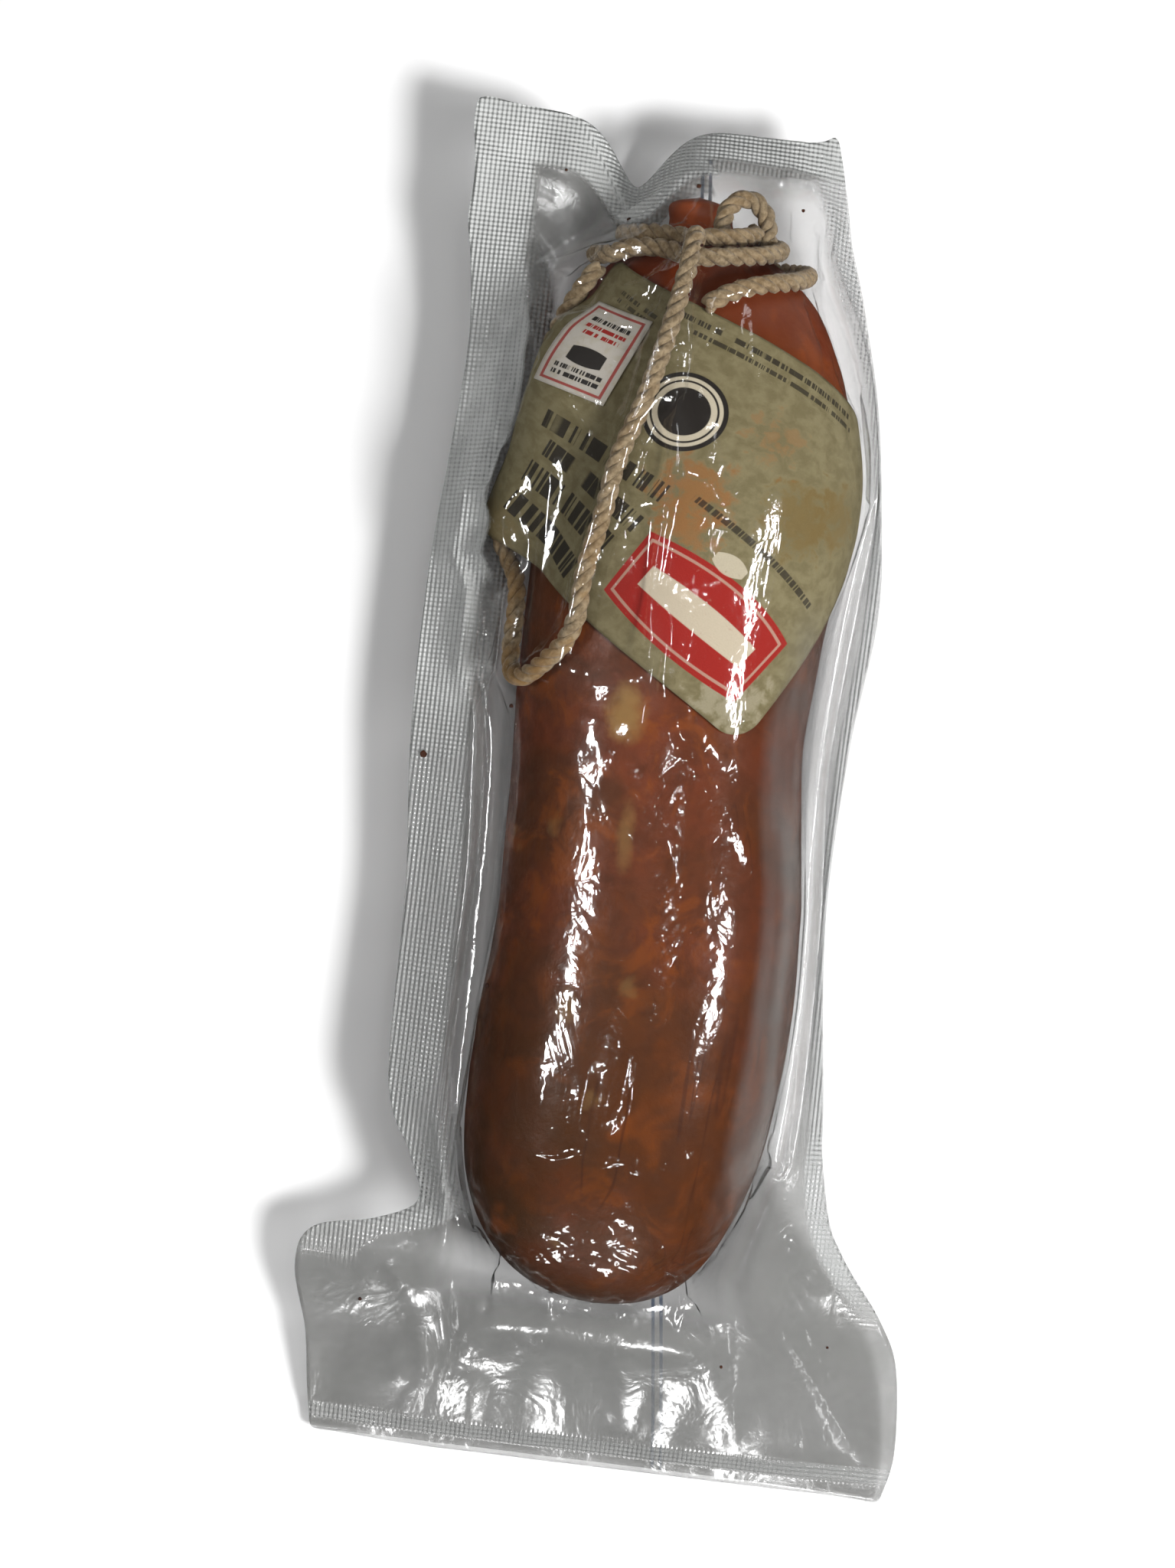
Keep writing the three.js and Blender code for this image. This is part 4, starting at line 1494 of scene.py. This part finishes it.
class SausagePackSettings(bpy.types.PropertyGroup):
    """Sizes and colours of the pack."""

    lump_depth: length_prop("Lump depth", "How deep the casing's dents are", 0.0006)
    pleat_depth: length_prop("Pleat depth", "How deep the gathers at the neck are", 0.0011)
    pleats: bpy.props.IntProperty(
        name="Pleats",
        description="Gathers round the neck",
        default=13,
        min=3,
        subtype="UNSIGNED",
    )
    twine_diameter: length_prop("Twine diameter", "Across the three plies", 0.0037)
    twine_pitch: length_prop("Twine pitch", "One full turn of the plies", 0.009)
    fibres: bpy.props.FloatProperty(
        name="Loose fibres",
        description="Loose fibres to each millimetre of twine",
        default=1.1,
        min=0,
        unit="NONE",
    )
    label_thickness: length_prop("Label thickness", "Thickness of the paper label", 0.00022)
    corner_radius: length_prop("Label corner", "Radius of the label's rounded corners", 0.006)
    film_thickness: length_prop("Film thickness", "Thickness of each film", 0.00012)
    seal_gap: length_prop("Seal gap", "Between the middles of the sealed films", 0.00034)
    emboss_pitch: length_prop("Emboss pitch", "Pitch of the embossed grid on the seals", 0.0013)
    vacuum: bpy.props.FloatProperty(
        name="Vacuum", description="How hard the film is pulled on", default=9.0, min=0
    )
    tightness: bpy.props.FloatProperty(
        name="Tightness", description="How much the film shrinks as it settles", default=0.0
    )
    sim_frames: bpy.props.IntProperty(
        name="Settling steps", description="Frames of the cloth simulation", default=26, min=2
    )
    film_roughness: bpy.props.FloatProperty(
        name="Film roughness",
        description="Roughness of the film's gloss",
        default=0.09,
        subtype="FACTOR",
    )
    film_shine: bpy.props.FloatProperty(
        name="Film shine",
        description="How much the film mirrors head on",
        default=0.045,
        subtype="FACTOR",
    )
    crumb_size: length_prop("Crumb size", "Across a crumb", 0.0009)
    meat_red: colour_prop("Meat red", "Main colour of the meat", 114, 56, 31)
    meat_brown: colour_prop("Meat brown", "Browner meat", 98, 53, 25)
    meat_dark: colour_prop("Meat dark", "Dark grain in the meat", 72, 38, 19)
    meat_olive: colour_prop("Meat olive", "Dark olive meat near the tail", 66, 40, 16)
    meat_orange: colour_prop("Meat orange", "Orange meat near the tail", 140, 70, 18)
    neck_colour: colour_prop("Neck red", "Casing at the neck and the nub", 132, 54, 26)
    # The nub colour is partly the casing's own orange-red and partly painted light, lifting a nub
    # that lies in shade.
    nub_red_and_painted_light: colour_prop("Nub", "Casing past the tie", 178, 88, 48)
    # This colour is painted shade, laid on the meat's right side to even out the key lamp's light
    # there.
    meat_right_painted_shade: colour_prop("Meat right painted shade", "Painted shade on the right side", 62, 26, 10)
    vein_colour: colour_prop("Veins", "Thin veins", 48, 24, 16)
    fat_colour: colour_prop("Fat", "Spots of fat", 152, 120, 70)
    twine_colour: colour_prop("Twine", "Light fibres", 160, 142, 114)
    twine_dark: colour_prop("Twine dark", "Dark fibres", 118, 101, 77)
    twine_stain: colour_prop("Twine stain", "Oil in the twine", 140, 106, 60)
    paper: colour_prop("Paper", "The label's paper", 128, 119, 89)
    paper_dark: colour_prop("Paper shade", "Darker paper", 112, 103, 74)
    stain_orange: colour_prop("Orange stain", "Oil stain in the paper", 138, 98, 58)
    stain_olive: colour_prop("Olive stain", "Oil stain in the paper", 112, 94, 56)
    stain_pale: colour_prop("Worn paper", "Worn pale paper", 152, 144, 120)
    ink: colour_prop("Ink", "Dark print", 40, 36, 33)
    print_pale: colour_prop("Pale print", "Unprinted parts of a print", 190, 180, 158)
    panel_red: colour_prop("Panel red", "The label's red panel", 150, 38, 32)
    sticker_white: colour_prop("Sticker", "The sticker's paper", 184, 178, 168)
    sticker_shade: colour_prop("Sticker shade", "Darker sticker paper", 176, 168, 152)
    film_grey: colour_prop("Film grey", "Milky film", 150, 150, 147)
    # This seal colour is partly the seals' own milky white and partly painted sheen.
    seal_grey_and_painted_sheen: colour_prop("Seal grey", "Embossed seals", 222, 224, 222)
    seam_blue: colour_prop("Lap seam", "The back film's lap seam", 88, 104, 128)
    floor_colour: colour_prop("Floor", "The studio floor", 244, 244, 244)


# ---------------------------------------------------------------------------
# Operators.


class PACK_OT_sausage(bpy.types.Operator):
    """Make the cured sausage with its gathered neck"""

    bl_idname = "packed_sausage.sausage"
    bl_label = "Sausage"

    def execute(self, context):
        settings = context.scene.sausage_pack
        line = spline(OUTLINE, 13)
        line[0, 0] = 0
        line[-1, 0] = 0
        bm = spin_profile(np.maximum(line, (0, -1e9)), 150)
        place = np.array([vertex.co for vertex in bm.verts])
        radius = np.hypot(place[:, 0], place[:, 2])
        angle = np.arctan2(place[:, 0], place[:, 2])
        y = place[:, 1]
        dent = np.minimum(skin_detail(y, angle, radius, settings), radius * 0.3)
        centre_x, centre_z = axis_at(y)
        inner = radius - dent
        height = centre_z + inner * SQUASH * np.cos(angle)
        moved = points(centre_x + inner * np.sin(angle), y, np.maximum(height, REST_GAP))
        place_vertices(bm, moved)
        piece = new_piece("sausage_casing", bm, "cured_meat", "sausage")
        piece.data.materials.append(meat_material(settings))
        return {"FINISHED"}


class PACK_OT_twine(bpy.types.Operator):
    """Make the twine: the neck tie, the top loop and the hanging loop"""

    bl_idname = "packed_sausage.twine"
    bl_label = "Twine"

    def execute(self, context):
        settings = context.scene.sausage_pack
        material = twine_material(settings)
        for name, node, route, seed in (
            ("neck_tie_strands", "neck_tie_twine", twine_route(NECK_TIE), 1),
            ("top_loop_strands", "top_loop_twine", even_route(TOP_LOOP), 2),
            ("hanging_loop_strands", "hanging_loop_twine", twine_route(HANGING_LOOP), 3),
        ):
            piece = new_piece(name, twine_bmesh(route, settings, seed), "twine", node)
            piece.data.materials.append(material)
        return {"FINISHED"}


class PACK_OT_label(bpy.types.Operator):
    """Make the paper label laid over the sausage"""

    bl_idname = "packed_sausage.label"
    bl_label = "Paper label"

    def execute(self, context):
        settings = context.scene.sausage_pack
        bm, u, v = unit_grid(96, 88)
        wide, tall = LABEL_SIZE
        radius = settings.corner_radius / MM
        corners = ((1, 0, radius), (0, 0, radius * 0.4), (0, 1, radius * 0.3), (1, 1, radius * 0.5))
        u, v = rounded(u * wide, v * tall, LABEL_SIZE, corners)
        u = u / wide
        v = v / tall
        shares = dict(zip((vertex.index for vertex in bm.verts), zip(u, v)))
        layer = bm.loops.layers.uv.active
        for face in bm.faces:
            for loop in face.loops:
                loop[layer].uv = shares[loop.vert.index]
        place = label_surface(u, v)
        normal = normal_of(label_surface, u, v, 0.01, 0.01)
        place = place + normal * (0.12 * rumple(place, 7, 41))[..., None]
        place_vertices(bm, place)
        piece = new_piece("paper_label_sheet", bm, "label_paper", "paper_label")
        wall = piece.modifiers.new("Wall", "SOLIDIFY")
        wall.thickness = settings.label_thickness
        wall.offset = 0
        piece.data.materials.append(label_material(settings))
        return {"FINISHED"}


class PACK_OT_sticker(bpy.types.Operator):
    """Make the small sticker on the label"""

    bl_idname = "packed_sausage.sticker"
    bl_label = "Sticker"

    def execute(self, context):
        settings = context.scene.sausage_pack
        bm, u, v = unit_grid(24, 34)
        place = sticker_surface(u, v)
        place_vertices(bm, place)
        piece = new_piece("seal_sticker_sheet", bm, "sticker_paper", "seal_sticker")
        wall = piece.modifiers.new("Wall", "SOLIDIFY")
        wall.thickness = settings.label_thickness
        wall.offset = 0
        piece.data.materials.append(sticker_material(settings))
        return {"FINISHED"}


class PACK_OT_films(bpy.types.Operator):
    """Make the two films of the pouch, the front one settled on the contents"""

    bl_idname = "packed_sausage.films"
    bl_label = "Pouch films"

    def execute(self, context):
        settings = context.scene.sausage_pack
        tree = contents_tree(settings)
        wide, tall = FILM_SIZE
        bm, grid_u, grid_v = unit_grid(*FILM_GRID)
        bm.free()
        u, v = rounded(grid_u * wide, grid_v * tall, FILM_SIZE, FILM_CORNERS)
        u = u / wide
        v = v / tall
        front, outward, span = film_start(1, u, v, 0 * u)
        places, coarse_u, coarse_v = settle_film(tree, settings)
        front = refine(places, coarse_u, coarse_v, u, v)
        front = eased(front, grid_u, grid_v, 1 - smooth(0.12, 0.17, v), 8)
        front = self.clear_of(tree, front, outward, settings)
        back, _, _ = film_start(-1, u, v, 0 * u)
        back = self.clear_of(tree, back, outward, settings)
        facts = self.shading_facts(tree, front, u, v, outward, span)
        material = film_material("pouch_film_front", settings, False)
        piece = film_piece(
            "front_film_sheet", "pouch_front_film", front, facts, settings, material
        )
        facts = self.shading_facts(tree, back, u, v, outward, span)
        material = film_material("pouch_film_back", settings, True)
        piece = film_piece(
            "back_film_sheet", "pouch_back_film", back, facts, settings, material
        )
        return {"FINISHED"}

    def clear_of(self, tree, places, outward, settings):
        """Pushes any place that a film has inside the contents back out of them."""
        room = settings.film_thickness * 0.5 + 0.0001
        moved = places.copy()
        for index in np.flatnonzero(outward < 0.6):
            place = Vector(places[index]) * MM
            near, normal, _, distance = tree.find_nearest(place, 0.012)
            if near is None:
                continue
            inside = (place - near).dot(normal) < 0
            if inside or distance < room:
                moved[index] = np.array(near + normal * room) / MM
        moved[:, 2] = np.maximum(moved[:, 2], 0.1)
        return moved

    def shading_facts(self, tree, places, u, v, outward, span):
        """How hazy (with a painted sheen on the upper left and top seals), embossed and slack a
        film is at each place.
        """
        stand = np.array(
            [(tree.find_nearest(Vector(p) * MM)[3] or 0) / MM for p in places]
        )
        y = places[:, 1]
        from_edge = (1 - outward) * span
        flange = smooth(0.0, 0.35, outward)
        ends = np.maximum(1 - smooth(-104, -97, y), smooth(120, 126, y))
        away = np.maximum(flange, ends)
        left = u < 0.5
        band = np.where(left, 13.0, 5.5)
        side_seal = (1 - smooth(band - 1.5, band, from_edge)) * (outward > 0)
        side_seal = side_seal * smooth(-100, -86, y)
        top = np.where(left, 122.0, 126.0)
        notched = y + NOTCH_DEPTH * notch(places[:, 0])
        top_seal = smooth(top - 0.8, top + 0.8, notched)
        foot_seal = (1 - smooth(-128.6, -127.6, y)) * smooth(-131.5, -130.5, y)
        seal = np.clip(np.maximum(np.maximum(side_seal, top_seal), 0.5 * foot_seal), 0, 1)
        right = smooth(0.5, 0.8, u) * (1 - 0.8 * smooth(88, 100, y))
        milky = 0.004 + (0.015 + 0.045 * right) * smooth(0.8, 4.0, stand)
        # Painted sheen: the seals on the upper left and at the top are made whiter and more opaque,
        # standing in for the broad reflections on them.
        painted_sheen = side_seal * smooth(0, 25, y) * left + top_seal
        flat = 0.245 - 0.12 * smooth(0.6, 0.9, u) * smooth(-70, -40, y)
        haze_and_painted_sheen = lerp(milky, flat, away) + 0.08 * seal + 0.5 * np.clip(painted_sheen, 0, 1)
        share = (2 * u - 1) / BODY_SHARE
        cloudy = smooth(0.5, 0.66, share) * (1 - smooth(0.85, 1.0, share))
        cloudy = cloudy * smooth(-85, -60, y) * (1 - smooth(20, 45, y))
        streaks = rumple(points(u * FILM_SIZE[0], v * 80, 0 * u), 3.5, 41)
        haze_and_painted_sheen = haze_and_painted_sheen + 0.26 * cloudy * np.clip(0.6 + 0.6 * streaks, 0, 1)
        slack = np.clip(away + 0.5 * smooth(0.4, 3, stand), 0, 1)
        return {"haze_and_painted_sheen": haze_and_painted_sheen, "seal": seal, "slack": slack}


class PACK_OT_crumbs(bpy.types.Operator):
    """Make the few dark crumbs caught under and on the film"""

    bl_idname = "packed_sausage.crumbs"
    bl_label = "Crumbs"

    def execute(self, context):
        settings = context.scene.sausage_pack
        rng = random.Random(11)
        front = bpy.data.objects["front_film_sheet"]
        vertices = [vertex.co for vertex in front.data.vertices]
        faces = [list(face.vertices) for face in front.data.polygons]
        tree = BVHTree.FromPolygons(vertices, faces)
        bm = bmesh.new()
        for x, y, size in CRUMBS:
            hit = tree.ray_cast(Vector((x, y, 100)) * MM, Vector((0, 0, -1)))[0]
            if hit is None:
                raise RuntimeError("a crumb lies off the film")
            across = settings.crumb_size * size
            made = bmesh.ops.create_icosphere(bm, subdivisions=2, radius=across / 2)
            for vertex in made["verts"]:
                vertex.co *= 1 + 0.35 * noise.noise(vertex.co * 2200 + Vector((x, y, 0)))
                vertex.co.z *= 0.5
                vertex.co.x *= rng.uniform(1.0, 1.05)
            lift = settings.film_thickness * 0.5 + across * 0.2
            bmesh.ops.translate(bm, verts=made["verts"], vec=hit + Vector((0, 0, lift)))
        piece = new_piece("crumbs", bm, "cured_meat")
        piece.data.materials.append(crumb_material(settings))
        return {"FINISHED"}


class PACK_OT_stage(bpy.types.Operator):
    """Make the floor, the lights and the camera"""

    bl_idname = "packed_sausage.stage"
    bl_label = "Stage"

    def execute(self, context):
        settings = context.scene.sausage_pack
        scene = context.scene
        bm = bmesh.new()
        bmesh.ops.create_grid(bm, x_segments=1, y_segments=1, size=FLOOR_SIZE)
        bmesh.ops.translate(bm, verts=bm.verts, vec=(0, 0, -FLOOR_DROP))
        mesh = bpy.data.meshes.new("floor")
        bm.to_mesh(mesh)
        bm.free()
        floor = scratch_object("floor", mesh)
        floor.data.materials.append(floor_material(settings))
        floor.visible_glossy = False
        world = bpy.data.worlds.new("studio")
        world.use_nodes = True
        world.node_tree.nodes["Background"].inputs["Color"].default_value = (1, 1, 1, 1)
        world.node_tree.nodes["Background"].inputs["Strength"].default_value = FILL_LIGHT
        world.cycles_visibility.glossy = False
        scene.world = world
        for name, place, size, length, power, lights_up, mirrored in LAMPS:
            light = bpy.data.lights.new(name, "AREA")
            light.shape = "RECTANGLE"
            light.size = size
            light.size_y = length
            light.energy = power
            lamp = bpy.data.objects.new(name, light)
            lamp.location = place
            lamp.visible_diffuse = lights_up
            lamp.visible_glossy = mirrored
            aim = Vector(LAMPS_AIM) - Vector(place)
            lamp.rotation_euler = aim.to_track_quat("-Z", "Y").to_euler()
            scene.collection.objects.link(lamp)
        camera = bpy.data.cameras.new("camera")
        camera.sensor_fit = "VERTICAL"
        camera.sensor_height = 36
        camera.lens = CAMERA_LENS
        camera.clip_start = 0.01
        eye = bpy.data.objects.new("camera", camera)
        eye.location = CAMERA_PLACE
        eye.rotation_euler = (0, 0, CAMERA_TURN)
        scene.collection.objects.link(eye)
        scene.camera = eye
        scene.view_settings.view_transform = "Standard"
        return {"FINISHED"}


STEPS = (
    PACK_OT_sausage,
    PACK_OT_twine,
    PACK_OT_label,
    PACK_OT_sticker,
    PACK_OT_films,
    PACK_OT_crumbs,
    PACK_OT_stage,
)


class PACK_PT_steps(bpy.types.Panel):
    """Lists the pieces and the settings"""

    bl_idname = "PACK_PT_steps"
    bl_label = "Packed Sausage"
    bl_space_type = "VIEW_3D"
    bl_region_type = "UI"
    bl_category = "Packed Sausage"

    def draw(self, context):
        settings = context.scene.sausage_pack
        for name in SausagePackSettings.__annotations__:
            self.layout.prop(settings, name)
        for step in STEPS:
            self.layout.operator(step.bl_idname)


def register():
    for kind in (SausagePackSettings, *STEPS, PACK_PT_steps):
        bpy.utils.register_class(kind)
    bpy.types.Scene.sausage_pack = bpy.props.PointerProperty(type=SausagePackSettings)


def unregister():
    del bpy.types.Scene.sausage_pack
    for kind in reversed((SausagePackSettings, *STEPS, PACK_PT_steps)):
        bpy.utils.unregister_class(kind)


def main():
    register()
    bpy.ops.packed_sausage.sausage()
    bpy.ops.packed_sausage.twine()
    bpy.ops.packed_sausage.label()
    bpy.ops.packed_sausage.sticker()
    bpy.ops.packed_sausage.films()
    bpy.ops.packed_sausage.crumbs()
    bpy.ops.packed_sausage.stage()


if __name__ == "__main__":
    main()
